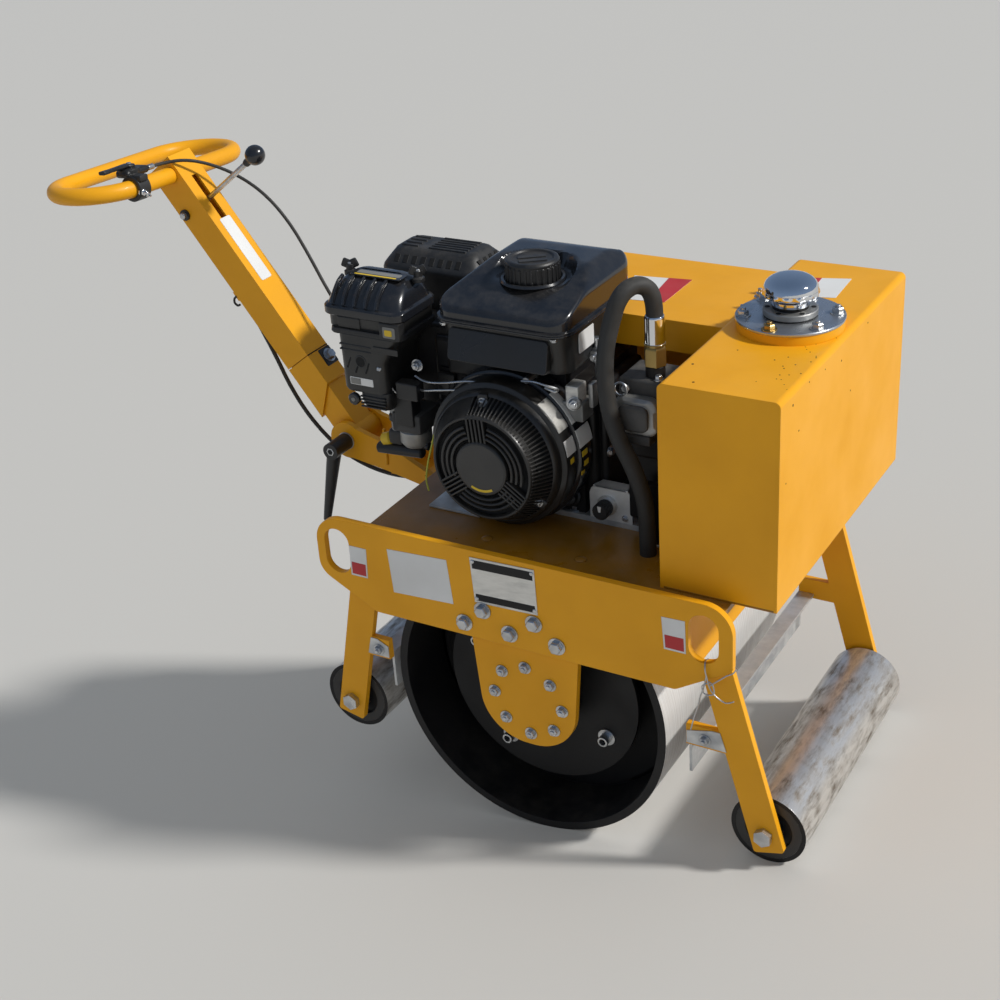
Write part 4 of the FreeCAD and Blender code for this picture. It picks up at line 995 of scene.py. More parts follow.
# %% Breather cap
WAVES = 14
skirt = []
for height, radius, wave in ((42.6, 33.0, 0.4), (43.2, 35.0, 1.0), (45.0, 35.9, 1.1), (48.0, 35.9, 1.0),
                             (50.4, 35.5, 0.3), (50.8, 34.5, 0.0)):
    angles = [360 * k / 144 for k in range(144)]
    skirt.append([round_lid(radius + wave * math.cos(WAVES * math.radians(a)), a, height) for a in angles])
screw_holes = [round_lid(29.5, angle + 20, 26) for angle in range(0, 360, 60)]
build("breather_dressed", {
    "mount_rubber": [over_lid((34.5, 16), (34.5, 18))],
    "cast_alloy": [over_lid((34.8, 18), (35.5, 18.8), (35.5, 25), (34.6, 26), (20, 26))],
    "black_paint": [over_lid((23.5, 26), (23.5, 30), (20.5, 31.5), (20.5, 45))],
    "chrome": [
        over_lid((22, 30), (25, 31), (25, 37), (23.5, 38), (20, 38)),
        over_lid((20, 43), (30, 42.5), (35.2, 43.5)),
        over_lid((35.6, 50.5), (35.2, 53), (34.6, 56), (32.6, 60), (29.2, 63.6), (24.4, 66.7), (18.5, 69),
                 (12, 70.3), (6, 70.9), (0, 71)),
        skin(skirt)],
    # The screw holes are near-black discs on the flange: painted shade.
    "painted_shade_and_chips": [turned([(3.4, 0), (3.4, 0.5), (0, 0.5)], place, steps=16) for place in screw_holes],
}, nodes=("breather_cap",))

# %% [markdown]
# The tank's flat top carries a plain label with a red edge, three bolts and paint chips, and the
# drive cover beside it a second label. The chips are tiny dark cones, because a noise would strew
# them everywhere. Sines of their number place them, the same each time.

# %% Tank-top details
COVER_TOP = 500.0
CHIPS = [(241, -171, 1.7), (218, -121, 1.7), (252, -60, 1.1)]
CHIPS += [(352 - 46 * abs(math.sin(5.1 * k)) * abs(math.sin(1.7 * k)), -150 + 7.2 * k + 9 * math.sin(9.3 * k),
           0.6 + 0.5 * abs(math.sin(3.3 * k))) for k in range(26)]
FRONT_CHIPS = ((-150, 498, 1.8), (-96, 506, 1.2), (-128, 455, 1.3), (-40, 500, 1.0), (20, 488, 1.4),
               (-168, 402, 1.1), (60, 430, 1.2), (120, 502, 1.2))
TOP_LABELS = (
    (((252, 214), (300, 228), (304, 152), (256, 140)), TANK_TOP, (0.0, 0.2)),
    (((-6, 178), (79, 190), (79, 96), (20, 88)), COVER_TOP, (0.6, 1.0)),
)


def chip(size, place, axis):
    return turned([(size, 0), (size, 0.15), (0, 0.3)], place, axis, 12)


build("tank_top_details", {
    "painted_shade_and_chips": [chip(size, (x, y, TANK_TOP), UP) for x, y, size in CHIPS]
              + [chip(size, (360, y, z), AHEAD) for y, z, size in FRONT_CHIPS],
    "white_label": [plate(label, "plan", top, top + LABEL_THICKNESS, 0.15) for label, top, edge in TOP_LABELS],
    "red_label": [plate(inside(label, *edge, 0.0, 1.0), "plan", top + 0.4, top + 0.8, 0.1)
                  for label, top, edge in TOP_LABELS],
    "zinc_bolt": [bolt((x, y, TANK_TOP), UP, 6.0, 5.5, 6.0, 1.4)
                  for x, y in ((210, 57), (209, 121), (209, 180))],
    # A thin strip in the deck's darkened paint runs along the oil tank's right foot: painted shade at the
    # joint.
    "deck_paint_painted_shade": [block((206, 356), (-190.4, -189), (230.2, 233), 0.5)],
})

# %% [markdown]
# The fuel tank is two steel pressings joined at a seam. The upper half slopes up from four walls to
# a flat top, with every edge drawn soft by the press, and is dished around its cap. A subdivided
# box gets the soft edges but not the dish. A height over the plan gives all of it: the lowest of
# five planes, blended smoothly where they meet, and lowered inside the dish.

# %% Height of the fuel tank's top
FUEL = {"rear": -150.0, "front": 46.0, "right": -136.0, "left": 72.0}
FUEL_DECK = 534.0
FUEL_TOP = 590.0
CAP = Vector((-43.0, -50.0))
DISH_RADIUS = 56.0
DISH_FLOOR = 571.0


def soft_least(first, second, reach):
    """The lesser of two heights, rounded off where they are within reach of each other."""
    share = max(0.0, min(1.0, 0.5 + 0.5 * (second - first) / reach))
    return second * (1 - share) + first * share - reach * share * (1 - share)


def fuel_height(x, y):
    """The upper half's height above a point of its plan."""
    height = FUEL_TOP
    for wall, slope_height, run in ((y - FUEL["right"], 14.0, 110.0), (FUEL["left"] - y, 44.0, 30.0),
                                    (x - FUEL["rear"], 22.0, 38.0), (FUEL["front"] - x, 36.0, 20.0)):
        rise = FUEL_TOP - FUEL_DECK - slope_height
        height = soft_least(height, FUEL_DECK + slope_height + rise * wall / run, 5.0)
    gap = (Vector((x, y)) - CAP).length
    share = max(0.0, min(1.0, (DISH_RADIUS + 4 - gap) / 8))
    dished = soft_least(height, DISH_FLOOR, 4.0)
    return height + (dished - height) * share * share * (3 - 2 * share)


print("heights at the middle and in the dish:", round(fuel_height(0, 0), 1), round(fuel_height(*CAP), 1))

# %% [markdown]
# A grid over the plan would give the rim a stepped edge. So the upper half is a skin over rings that
# shrink from the rim to the middle and take their height from the plan. The first rings also turn
# over the rim's rounded edge. The rim's long sides are cut into short ones, to have points to bend.

# %% Upper half of the fuel tank
FUEL_CORNER = 26.0
PRESS_RADIUS = 7.0


def divided(outline, step):
    """The same outline with its long sides cut into short ones."""
    points = []
    for (u, v), (next_u, next_v) in zip(outline, outline[1:] + outline[:1]):
        count = max(1, round(math.hypot(next_u - u, next_v - v) / step))
        points += [(u + (next_u - u) * k / count, v + (next_v - v) * k / count) for k in range(count)]
    return points


outline = rounded_outline(FUEL["rear"], FUEL["front"], FUEL["right"], FUEL["left"], FUEL_CORNER, 8)
rim = [Vector(point) for point in divided(outline, 4.0)]
centre = Vector(((FUEL["rear"] + FUEL["front"]) / 2, (FUEL["right"] + FUEL["left"]) / 2))
drawn_in = [point + (centre - point).normalized() * PRESS_RADIUS for point in rim]


def fuel_ring(points, drop=0.0):
    return [(x, y, fuel_height(x, y) - drop) for x, y in points]


fuel_rings = [[(x, y, FUEL_DECK) for x, y in rim]]
for k in range(7):
    angle = math.pi / 2 * k / 6
    ring = [edge.lerp(inner, 1 - math.cos(angle)) for edge, inner in zip(rim, drawn_in)]
    fuel_rings.append(fuel_ring(ring, PRESS_RADIUS * (1 - math.sin(angle))))
for k in range(1, 32):
    fuel_rings.append(fuel_ring([point.lerp(centre, k / 32) for point in drawn_in]))
print("rings of the upper half:", len(fuel_rings), "of", len(rim), "points")

# %% [markdown]
# The lower half is a plain tapering tub with a raised panel, and the seam between the halves is a
# folded lip with two rims. Both only grow and shrink with height, so stacked outlines make them.
# The panel is a plate, tilted so that its foot stands out further than its top.

# %% Fuel tank
FUEL_BOTTOM = 466.0
FUEL_SEAM = 528.0


def fuel_section(grow, z):
    return (FUEL["rear"] - grow, FUEL["front"] + grow, FUEL["right"] - grow, FUEL["left"] + grow,
            FUEL_CORNER + grow, z)


def tub_section(rear, front, right, left, radius, z):
    return FUEL["rear"] + rear, FUEL["front"] - front, FUEL["right"] + right, left, radius, z


tub = stacked([tub_section(14, 12, 26, 16, 18, FUEL_BOTTOM), tub_section(8, 7, 19, 22, 22, FUEL_BOTTOM + 3),
               tub_section(6, 5, 16, 24, 24, FUEL_BOTTOM + 10), tub_section(1, 1, 2, 30, 26, FUEL_SEAM)], 8)
seam = stacked([fuel_section(grow, FUEL_SEAM + z) for grow, z in (
    (3.5, -0.5), (5.0, 0.6), (5.0, 2.6), (3.8, 3.2), (4.6, 3.8), (4.6, 5.2), (1.0, 6.4))], 8)
panel = plate(rounded_outline(-128, 22, 477, 521, 6, 4), "side", -118.5, -134, 1.2)
build("fuel_tank_dressed", {
    "tub_plastic": [tub, moved(panel, shift(0, -134, 521), spin(-14, "X"), shift(0, 134, -521))],
    "black_gloss": [seam, skin(fuel_rings)],
    "white_label": [plate(rounded_outline(-92, -50, 492, 520, 2, 3), "front", 43.6, 44.8, 0.2)],
    "zinc_bolt": [bolt((x, FUEL["right"] + 3, FUEL_SEAM - 1), DOWN, 4.5, 4, 0, 1) for x in (-136, 30)],
}, nodes=("fuel_tank",))

# %% [markdown]
# The fuel cap is turned like a jar's lid, with a hollow top, and has two bars across the hollow to
# turn it by. Its grip could be cut into the wall. Ribs set round it as softened blocks that sink
# into the wall look the same, and nothing has to be cut. A drawn collar in the dish lies under it.

# %% Fuel cap
CAP_TOP = (CAP.x, CAP.y, 601.0)
RIBS = 28
cap_shape = turned([(30, -33), (33, -32), (35.5, -30), (35.5, -7), (36.4, -5), (36.4, -3.4), (34.8, -1),
                    (32.4, 0), (29.4, -0.4), (27.5, -2.6), (20, -3.4), (0, -3.6)], CAP_TOP, steps=64)
ribs = [moved(block((33.6, 37.2), (-1.7, 1.7), (-29, -7.5), 0.9), shift(*CAP_TOP), spin(360 * k / RIBS, "Z"))
        for k in range(RIBS)]
bars = [moved(block((-19, 19), across, (-3.8, -1.9), 0.6), shift(*CAP_TOP), spin(35, "Z"))
        for across in ((-12, -3), (3, 12))]
collar = turned([(38, 0), (39.5, 3.2), (43, 3.2), (45, 0)], (CAP.x, CAP.y, DISH_FLOOR + 0.2), steps=64)
build("fuel_cap_dressed", {"black_plastic": [cap_shape] + ribs + bars, "black_gloss": [collar]},
      nodes=("fuel_cap",))

# %% [markdown]
# The air cleaner is two mouldings. Its cover is a dome with a lip, five pressed ribs and two wing
# nuts. A sphere would have to be squared, so the dome is a stack: each outline is the one below,
# drawn in further, most of all on the right. The ribs are bars that are half sunk into it.

# %% Air cleaner cover
CLEANER = {"rear": -330.0, "front": -198.0, "right": -146.0, "left": -44.0}


def cleaner_section(inset, radius, z, extra_right=0.0):
    return (CLEANER["rear"] + inset, CLEANER["front"] - inset, CLEANER["right"] + inset + extra_right,
            CLEANER["left"] - inset, radius, z)


def top_print(low_x, high_x, low_y, high_y, radius, low=565.8, high=566.2, soft=0.1, steps=3):
    return plate(rounded_outline(low_x, high_x, low_y, high_y, radius, steps), "plan", low, high, soft)


dome = [(1.5, 18, 516), (0, 19, 517.5), (0, 19, 527), (1.5, 18, 529), (5, 17, 530.5), (7, 18, 539, 2),
        (10, 19, 548, 6), (15, 19, 556, 11), (21, 18, 561, 15), (28, 15, 564.4, 17), (35, 10, 565.5, 18)]
rib_path = ((-141, 532), (-137.5, 541), (-131, 549), (-121, 557.5), (-110, 562))
wings, nuts, screws = [], [], []
for x, y, turn in ((-312, -88, 20), (-206, -80, 40)):
    nuts.append(turned([(9, 0), (9, 5), (6, 7), (6, 15), (0, 15)], (x, y, 556), steps=20))
    screws.append(rod((x, y, 565), UP, 3.5, 9, 0.8, 16))
    wings += [moved(block((2, 15), (-2.6, 2.6), (0, 13), 2.2),
                    shift(x, y, 562), spin(angle, "Z"), spin(-24, "Y")) for angle in (turn, turn + 180)]
build("air_cleaner_cover_dressed", {
    "black_gloss": [stacked([cleaner_section(*level) for level in dome]),
                    top_print(-300, -216, -110, -88, 6, 563.8, 566, 0.8, 4)]
                   + [round_bar(smooth_path([(18 * k - 310, y, z) for y, z in rib_path], 4), 2.8, 8)
                      for k in range(5)],
    "yellow_print": [top_print(-292, -224, -109, -105, 1.5)],
    "grey_print": [top_print(-292, -222, -103, -92, 3)],
    "black_plastic": nuts + wings,
    "zinc_bolt": screws,
}, nodes=("air_cleaner_cover",))

# %% [markdown]
# The body below is boxy: a flange, a narrower case and a foot, each a short stack. Its right face
# gets the most detail: three slanting slots, small plain plates and a knob. What lies on that face
# is given by its outline and by how far it stands out.

# %% Air cleaner body
FLANGE = [(-323, -205, -139, -47, 14, 497), (-324, -204, -140, -46, 14, 499), (-324, -204, -140, -46, 14, 516)]
BAND = [(-318, -200, -145, -50, 12, 490), (-319, -199, -146, -49, 12, 492), (-318, -200, -145, -50, 12, 498)]
CASE = [(-303, -234, -143, -56, 12, 405), (-305, -232, -145, -54, 12, 410), (-305, -230, -146, -52, 12, 455),
        (-306, -205, -146, -50, 12, 491)]
FOOT = [(-274, -234, -138, -62, 10, 380), (-278, -231, -143, -58, 13, 386), (-280, -230, -145, -56, 13, 398),
        (-280, -230, -143, -56, 12, 407)]


def on_face(low_x, high_x, low_z, high_z, radius, low, high, soft):
    return plate(rounded_outline(low_x, high_x, low_z, high_z, radius, 3), "side", low, high, soft)


build("air_cleaner_body_dressed", {
    "dark_plastic": [
        stacked(FLANGE), stacked(CASE), block((-304, -267), (-142.4, -130), (498, 515), 2),
        on_face(-246, -205, 470.5, 479.5, 1, -145.8, -147.4, 0.3)]
        + [block((-276, -234), (-146.4, -143), (z, z + 2.4), 0.8) for z in (384, 389, 394, 399)],
    "black_plastic": [
        stacked(BAND), stacked(FOOT), block((-234, -201), (-146, -130), (491, 516), 2.5),
        block((-302, -250), (-146.8, -140), (474.4, 477), 0.8),
        block((-302, -250), (-146.8, -140), (467, 469.6), 0.8),
        turned([(9, 0), (9, 1.2), (7.4, 1.2), (7.4, 0)], (-269, -145.4, 453), TO_RIGHT, 24, caps=False)],
    "black_gloss": [turned([(9, 0), (9, 5), (7.5, 6.5), (0, 6.5)], (-287, -142, 394), TO_RIGHT, 24)],
    "grey_print": [
        on_face(-227, -207, 495, 511, 2, -145.9, -146.6, 0.2),
        on_face(-289, -272, 418, 427, 1, -146.0, -146.5, 0.1),
        turned([(3.2, 0), (3.2, 0.6), (0, 0.8)], (-287, -148.4, 394), TO_RIGHT, 16)],
    "yellow_print": [on_face(-224, -212, 498, 507, 2, -146.5, -147.0, 0.15)],
    "white_label": [on_face(-290, -252, 417, 428, 1, -144.8, -146.2, 0.2)],
    # Near-black disc and bars paint the shade in the knob's hollow and the three slanting slots.
    "painted_shade_and_chips": [turned([(7.4, 0), (7.4, 0.5), (0, 0.6)], (-269, -145.9, 453), TO_RIGHT, 24)]
              + [moved(block((-1.3, 1.3), (-146.3, -144), (-9, 9), 0.6), shift(x, 0, z), spin(24, "Y"))
                 for x, z in ((-289, 449), (-276, 443), (-259, 444))],
}, nodes=("air_cleaner_body",))

# %% [markdown]
# The carburettor hangs between the air cleaner and the cylinder: alloy body, round bowl, levers, a
# rubber cap and thin bent wires. From a step away it reads as small shapes with bright edges, so
# they are made as separate turned and bent forms instead of one block.

# %% Carburettor and linkage
LINKS = (
    ((-200, -118, 432), (-180, -122, 428), (-150, -124, 432), (-110, -122, 440), (-60, -122, 444)),
    ((-196, -110, 420), (-190, -122, 414), (-160, -126, 420), (-128, -124, 424), (-120, -122, 414)),
    ((-240, -128, 446), (-236, -130, 430), (-232, -128, 410), (-224, -122, 400)),
    ((-122, -123, 425), (-100, -125, 419), (-78, -126, 421), (-66, -125, 428)),
)
BOWL = [(20, 0), (23, 3), (23, 20), (18, 27), (6, 28), (6, 30), (0, 30)]
build("carburettor_dressed", {
    "cast_grey": [
        block((-246, -198), (-120, -62), (340, 370), 4), block((-206, -196), (-64, -38), (342, 370), 2),
        rod((-250, -100, 360), DOWN, 11, 12, 2), rod((-182, -62, 402), TO_RIGHT, 7, 10, 1)],
    "black_plastic": [
        block((-238, -206), (-124, -100), (352, 400), 4), block((-226, -190), (-132, -112), (398, 424), 3),
        block((-262, -238), (-110, -90), (312, 336), 5), block((-196, -168), (-70, -62), (384, 418), 2),
        rod((-286, -102, 300), (1, 0, 0.06), 8.5, 78, 2.5), rod((-240, -100, 320), (1, 0, -0.12), 6, 42, 1)],
    "cast_alloy": [
        turned(BOWL, (-222, -96, 341), DOWN, 32),
        rod((-250, -100, 372), DOWN, 9.5, 12, 2), rod((-250, -100, 350), DOWN, 8.5, 22, 2)],
    "zinc_bolt": [
        bolt((-222, -96, 311), DOWN, 6, 5), bolt((-198, -112, 446), TO_RIGHT, 6.5, 6, 3),
        bolt((-241, -140, 446), (0, -1, 0.2), 4.5, 4, 2), rod((-241, -138, 425), DOWN, 2.2, 26, 0.5)]
        + [round_bar(smooth_path(path, 5), 1.5, 8) for path in LINKS],
    "yellow_print": [rod((-262, -100, 318), (-1, 0, -0.35), 9.5, 16, 2)],
}, nodes=("carburettor",))

# %% [markdown]
# The muffler sits under a pressed guard, black and matt from heat. Its upper edge slopes and holds a
# row of short vents, so the guard is a stack of outlines that draws in. True holes would show an empty
# inside, so each vent is a near-black form let into the slope: painted shade where the opening is.

# %% Muffler guard
GUARD = [(-326, -168, 4, 102, 14, 452), (-328, -166, 2, 104, 17, 456), (-328, -166, 2, 104, 17, 532),
         (-327, -167, 3, 103, 18, 537), (-325, -169, 6, 100, 19, 541), (-317, -177, 17, 88, 18, 553),
         (-314, -180, 21, 84, 16, 557), (-310, -184, 26, 79, 14, 559.5), (-304, -190, 32, 73, 12, 560.6)]


def vent(low_end, high_end, along, width=7.6):
    """A dark opening on the guard's sloping edge; its ends are (out, z)."""
    return skin([[(along, out, z), (along + width, out, z), (along + width, out + 3, z - 3),
                  (along, out + 3, z - 3)] for out, z in (low_end, high_end)])


build("muffler_dressed", {
    "black_plastic": [stacked(GUARD)]
        + [block((-258, -196), (29 + 8.4 * k, 33.4 + 8.4 * k), (559, 562.4), 1.4) for k in range(6)]
        + [block((-304, -276), (30 + 12 * k, 35 + 12 * k), (559, 562.5), 1.6) for k in range(4)],
    "painted_shade_and_chips": [vent((7.2, 543), (15.4, 552.2), -305 + 14.6 * k) for k in range(8)]
        + [moved(vent((2.7, 543), (9.6, 552.2), 26 + 15 * k), shift(-166, 0, 0), spin(90, "Z"))
           for k in range(4)],
    "cast_grey": [rod((-312, 50, 500), (-1, 0, 0.1), 17, 15, 1)],
}, nodes=("muffler",))

# %% [markdown]
# The fan, its housing and the starter all turn about the crankshaft, so they share helpers: a form
# turned about it, a point round it, and a section swept about it between two angles.

# %% Places about the crankshaft
CRANK = (-68.0, 340.0)


def about_crank(shape, angle):
    """Turns a shape that was drawn at the crankshaft's right, and puts it there."""
    return moved(shape, shift(CRANK[0], 0, CRANK[1]), spin(-angle, "Y"))


def on_crank(y, *profile, caps=True):
    """A form turned about the crankshaft, its heights measured outwards from y."""
    return turned(profile, (CRANK[0], y, CRANK[1]), TO_RIGHT, 96, caps=caps)


def round_crank(radius, angle, y):
    """A point about the crankshaft."""
    turn = math.radians(angle)
    return CRANK[0] + radius * math.cos(turn), y, CRANK[1] + radius * math.sin(turn)


def swept(section, first, last, count):
    """A form swept about the crankshaft between two angles; the section is (radius, y) corners."""
    angles = [first + (last - first) * k / count for k in range(count + 1)]
    return skin([[round_crank(radius, angle, y) for radius, y in section] for angle in angles])


print("a point above the crankshaft:", [round(v) for v in round_crank(100, 90, 0)])

# %% [markdown]
# The fan's housing is a pressed shroud, cut flat over the engine's base. The cut is a plane through
# the mesh: what lies below is cleared, and the opening is closed. Plain labels lie round it.

# %% Blower housing
def arc_label(first, last, near, far, radius=113.5):
    return swept([(radius, near), (radius, far), (radius - 1.2, far), (radius - 1.2, near)], first, last, 10)


def cut_below(shape, z):
    """Cuts a shape flat at a height, and closes it there."""
    everything = shape.verts[:] + shape.edges[:] + shape.faces[:]
    cut = bmesh.ops.bisect_plane(shape, geom=everything, plane_co=(0, 0, z), plane_no=DOWN,
                                 clear_outer=True)
    edges = [part for part in cut["geom_cut"] if isinstance(part, bmesh.types.BMEdge)]
    bmesh.ops.contextual_create(shape, geom=edges)
    return shape


housing = on_crank(-62, (104, 0), (110, 1), (112.6, 4), (113, 8), (113, 33), (112.2, 36), (109, 38), (100, 38))
build("blower_housing_dressed", {
    "black_gloss": [cut_below(housing, 241.0)],
    "white_label": [arc_label(53, 27, -99, -84), arc_label(22, 9, -99, -64),
                    arc_label(20, 8, -125, -101, 107.5)],
    "aluminium": [arc_label(53, 27, -126, -101, 107.5)],
    "yellow_print": [arc_label(6, 2, -96, -82), arc_label(5, 1, -119, -109, 107.5),
                     arc_label(-2, -6, -92, -80), arc_label(-9, -12, -97, -89)],
}, nodes=("blower_housing",))

# %% [markdown]
# A fan draws air through the recoil starter, so its cover is largely gaps: radial bars on its cone,
# then arcs between three spokes, then a solid centre. Bars over a near-black core make true gaps
# without cutting; the core is painted shade, standing for the dark inside of the starter. Where the
# cone is closed, a sector is swept about the shaft in their place.

# %% Recoil starter
SLOTS_FROM, SLOTS_TO = -64, 104
STARTER_BACK = -100.0
BARS = 43
SPOKES = (95, 215, -35)

dark = [
    on_crank(STARTER_BACK, (104, 0), (106.4, 1), (107, 3), (107, 24), (105.6, 27), (102, 28.4), (99, 29),
             (98, 36), (96, 41), (92.6, 43), (91.6, 40), (91.6, 20), caps=False),
    on_crank(STARTER_BACK, (71, 60), (71, 72), (72.4, 74), (75, 74), (76.6, 72), (77.4, 66), (77.4, 60),
             caps=False),
    on_crank(STARTER_BACK, (40, 60), (40, 73), (38.6, 75.4), (37.4, 76), (33, 76)),
    swept([(92.4, -141.5), (76, -171.5), (72, -168), (88, -138)], SLOTS_TO, 360 + SLOTS_FROM, 32),
]
for k in range(BARS):
    angle = SLOTS_FROM + (SLOTS_TO - SLOTS_FROM) * k / (BARS - 1)
    dark.append(round_bar([round_crank(92.4, angle, -141), round_crank(76.4, angle, -171)], 1.25, 6))
for radius in (46.5, 54.0, 61.5):
    for first in (112, 232, -14):
        dark.append(round_bar([round_crank(radius, first + 92 * k / 18, -172.5) for k in range(19)], 2.3, 8))
for angle in SPOKES:
    dark += [about_crank(block((38, 73), (-175, -166), (low, low + 3.2), 1.0), angle)
             for low in (-13.6, -7.6, -1.6, 4.4, 10.4)]
    dark.append(about_crank(block((80, 97), (-146, -130), (-8, 8), 3), angle))
build("recoil_starter_dressed", {
    "painted_shade_and_chips": [on_crank(STARTER_BACK, (92, 2), (95, 32), (74, 62), (74, 66), (0, 66))],
    "dark_plastic": dark,
    "badge_grey": [on_crank(STARTER_BACK, (36, 75), (36, 76.1), (0, 76.1))],
    "yellow_print": [swept([(34, -176.5), (30.5, -176.5), (30.5, -175), (34, -175)], 240, 300, 10)],
    "zinc_bolt": [bolt(round_crank(84, angle, -145.5), TO_RIGHT, 6.0, 4.4, 0, 1.4) for angle in SPOKES],
}, nodes=("recoil_starter",))

# %% [markdown]
# Between the starter and the pump the engine shows its castings: the crankcase cover with its bolts,
# the governor's bracket and spring, a bright spring clip and the cylinder's cooling fins. They fill
# the dark gap under the fuel tank with the small bright shapes that an engine has there.

# %% Engine castings
CLIP = [(-30, -118, 452), (-8, -122, 456), (10, -120, 452), (20, -112, 446), (14, -108, 440), (0, -110, 444)]
COVER_BOLTS = ((-40, 272), (-40, 330), (-40, 388), (20, 396), (70, 388), (72, 330), (72, 272), (20, 266))
DRAIN_PLUG = [(15, 0), (15, 5), (12, 7), (12, 16), (9, 18), (0, 18)]
build("engine_castings", {
    "cast_grey": [block((-200, -142), (-60, 100), (312 + 12 * k, 314.4 + 12 * k), 0.8) for k in range(9)],
    "black_paint": [
        block((26, 46), (-58, 96), (246, 420), 8, 3), block((44, 58), (-48, 80), (262, 400), 10, 3),
        block((134, 172), (-97, -84), (232, 322), 1)],
    "black_plastic": [
        block((-206, -128), (-58, 60), (306, 468), 8, 3), block((-176, -96), (-72, -56), (420, 462), 6, 3),
        block((-268, -150), (-48, 4), (336, 482), 8, 3), turned(DRAIN_PLUG, (8, -62, 262), (0, -1, 0.25), 24)],
    "cast_alloy": [
        block((14, 46), (-92, -60), (392, 420), 3), block((50, 58), (-84, -68), (412, 448), 3),
        rod((30, -80, 420), (0.4, -1, 0.1), 9, 22, 2)],
    "aluminium": [block((22, 42), (-96, -70), (414, 446), 3)],
    "galvanised": [block((-194, -110), (-122, -66), (230.2, 234), 1)],
    # The bracket's lighter zinc is painted light.
    "bracket_zinc_painted_light": [
        block((131, 134.5), (-99, -84), (240, 322), 1), block((133, 172), (-99, -84), (230.2, 234), 1)],
    "zinc_bolt": [bolt((57, y, z), AHEAD, 6, 5) for y, z in COVER_BOLTS]
        + [bolt((x, -56, 238), UP, 7, 6, 3, 1.6) for x in (-120, 10, 88)] + [
        bolt((36, -98, 422), (0.4, -1, 0.1), 7, 5, 4), bolt((46, -49, 474), TO_RIGHT, 8, 7, 4),
        rod((46, -44, 440), UP, 5, 58, 1), rod((-30, -62, 448), TO_RIGHT, 5, 46, 1),
        rod((-6, -62, 254), TO_RIGHT, 8.5, 12, 1, 6), round_bar(smooth_path(CLIP, 5), 1.8, 8)],
})

# %% [markdown]
# The hydraulic pump is a cast block with a round-cornered coil clamped to its side and the hose
# fitting on top: black adapter, brass nut and a crimped ferrule, whose segments are flats.

# %% Pump and fitting
HOSE_X, HOSE_Y = 140, -64
FERRULE = [(12.5, 0), (13.2, 1), (13.5, 4), (13.5, 38), (13.0, 41), (12.2, 42), (10, 42)]


def facing_right(levels, radius):
    """A skin over upright rounded rectangles: (low x, high x, low z, high z, y)."""
    return skin([[(u, y, v) for u, v in rounded_outline(*box, radius, 6)] for *box, y in levels])


def over_pump(profile, z, steps):
    return turned(profile, (HOSE_X, HOSE_Y, z), steps=steps)


build("pump_dressed", {
    "black_paint": [
        block((98, 186), (-84, 26), (352, 400), 6, 3), block((112, 166), (-66, 26), (232, 356), 4, 3),
        block((100, 178), (-72, -60), (252, 356), 4, 3), rod((HOSE_X, HOSE_Y, 464), UP, 13, 18, 1.5)],
    "cast_grey": [
        block((98, 186), (-84, 26), (396, 436), 6, 3), block((96, 160), (-86, -20), (428, 466), 5, 3),
        block((104, 150), (-106, -82), (382, 396), 3), block((172, 186), (-60, -20), (300, 352), 3),
        facing_right([(106, 148, 402, 438, -103), (106, 148, 402, 438, -108), (110, 144, 406, 434, -111)],
                     10)],
    "cast_alloy": [
        facing_right([(98, 156, 396, 444, -84), (96, 158, 394, 446, -88), (96, 158, 394, 446, -100),
                      (100, 154, 398, 442, -104)], 14)],
    "brass": [over_pump([(15.5, 0), (15.5, 22), (13.4, 26), (11, 26)], 482, 6),
              over_pump([(12.2, 0), (14.2, 1), (14.2, 4), (12.2, 5)], 508, 24)],
    "chrome": [over_pump(FERRULE, 508, 12)],
    "zinc_bolt": [
        bolt((108, -84, 452), TO_RIGHT, 6, 5), bolt((150, -76, 466), UP, 5, 5),
        round_bar([(106 + u, -98, 455 + v) for u, v in circle(9, 24)], 1.5, 8, closed=True)],
}, nodes=("hydraulic_pump", "pump_fitting"))

# %% [markdown]
# A bent zinc bracket stands before the pump and holds a black knob. The bracket is two plates, one
# drawn from the side and its folded top in plan, because both have slanting corners that a bent
# block lacks. The knob's grip is a ring of small teeth round a turned body.

# %% Control bracket and knob
TEETH = 24
KNOB = (66, -74, 262)
BRACKET = [(38, 238), (38, 276), (41, 284), (48, 289), (93, 289), (100, 284), (103, 276), (103, 238)]
KNOB_BODY = [(11, 0), (11.2, 1), (11.2, 18.4), (10.2, 20), (0, 20)]
tooth_turns = [360 * k / TEETH for k in range(TEETH)]
build("control_bracket_dressed", {
    # The bracket's lighter zinc is painted light.
    "bracket_zinc_painted_light": [plate(BRACKET, "side", -68, -65.5),
                     plate([(44, -68), (97, -68), (91, -48), (50, -48)], "plan", 286.5, 289)],
    "aluminium": [turned([(14.5, 0), (14.5, 4.5), (13, 6), (11, 6)], (66, -68, 262), TO_RIGHT, 40)],
    "black_plastic": [turned(KNOB_BODY, KNOB, TO_RIGHT, 40)]
        + [moved(block((9.8, 12.0), (-19, -1.5), (-0.9, 0.9), 0.4, 1), shift(*KNOB), spin(turn, "Y"))
           for turn in tooth_turns],
    "white_label": [plate([(64.4, 263), (67.6, 263), (69, 271.5), (63, 271.5)], "side", -94, -94.6, 0.1)],
    "zinc_bolt": [bolt((x, -68, 246), TO_RIGHT, 3.6, 3, 0, 0.8) for x in (48, 92)],
}, nodes=("control_bracket", "control_knob"))

# %% [markdown]
# The column keeps its own solids, and gets its seam, a plain label, clips and a bolt. These ride on
# the handle, so they are drawn in the column's own directions: out of its front face, across, and
# up along it. One matrix then carries each to its place.

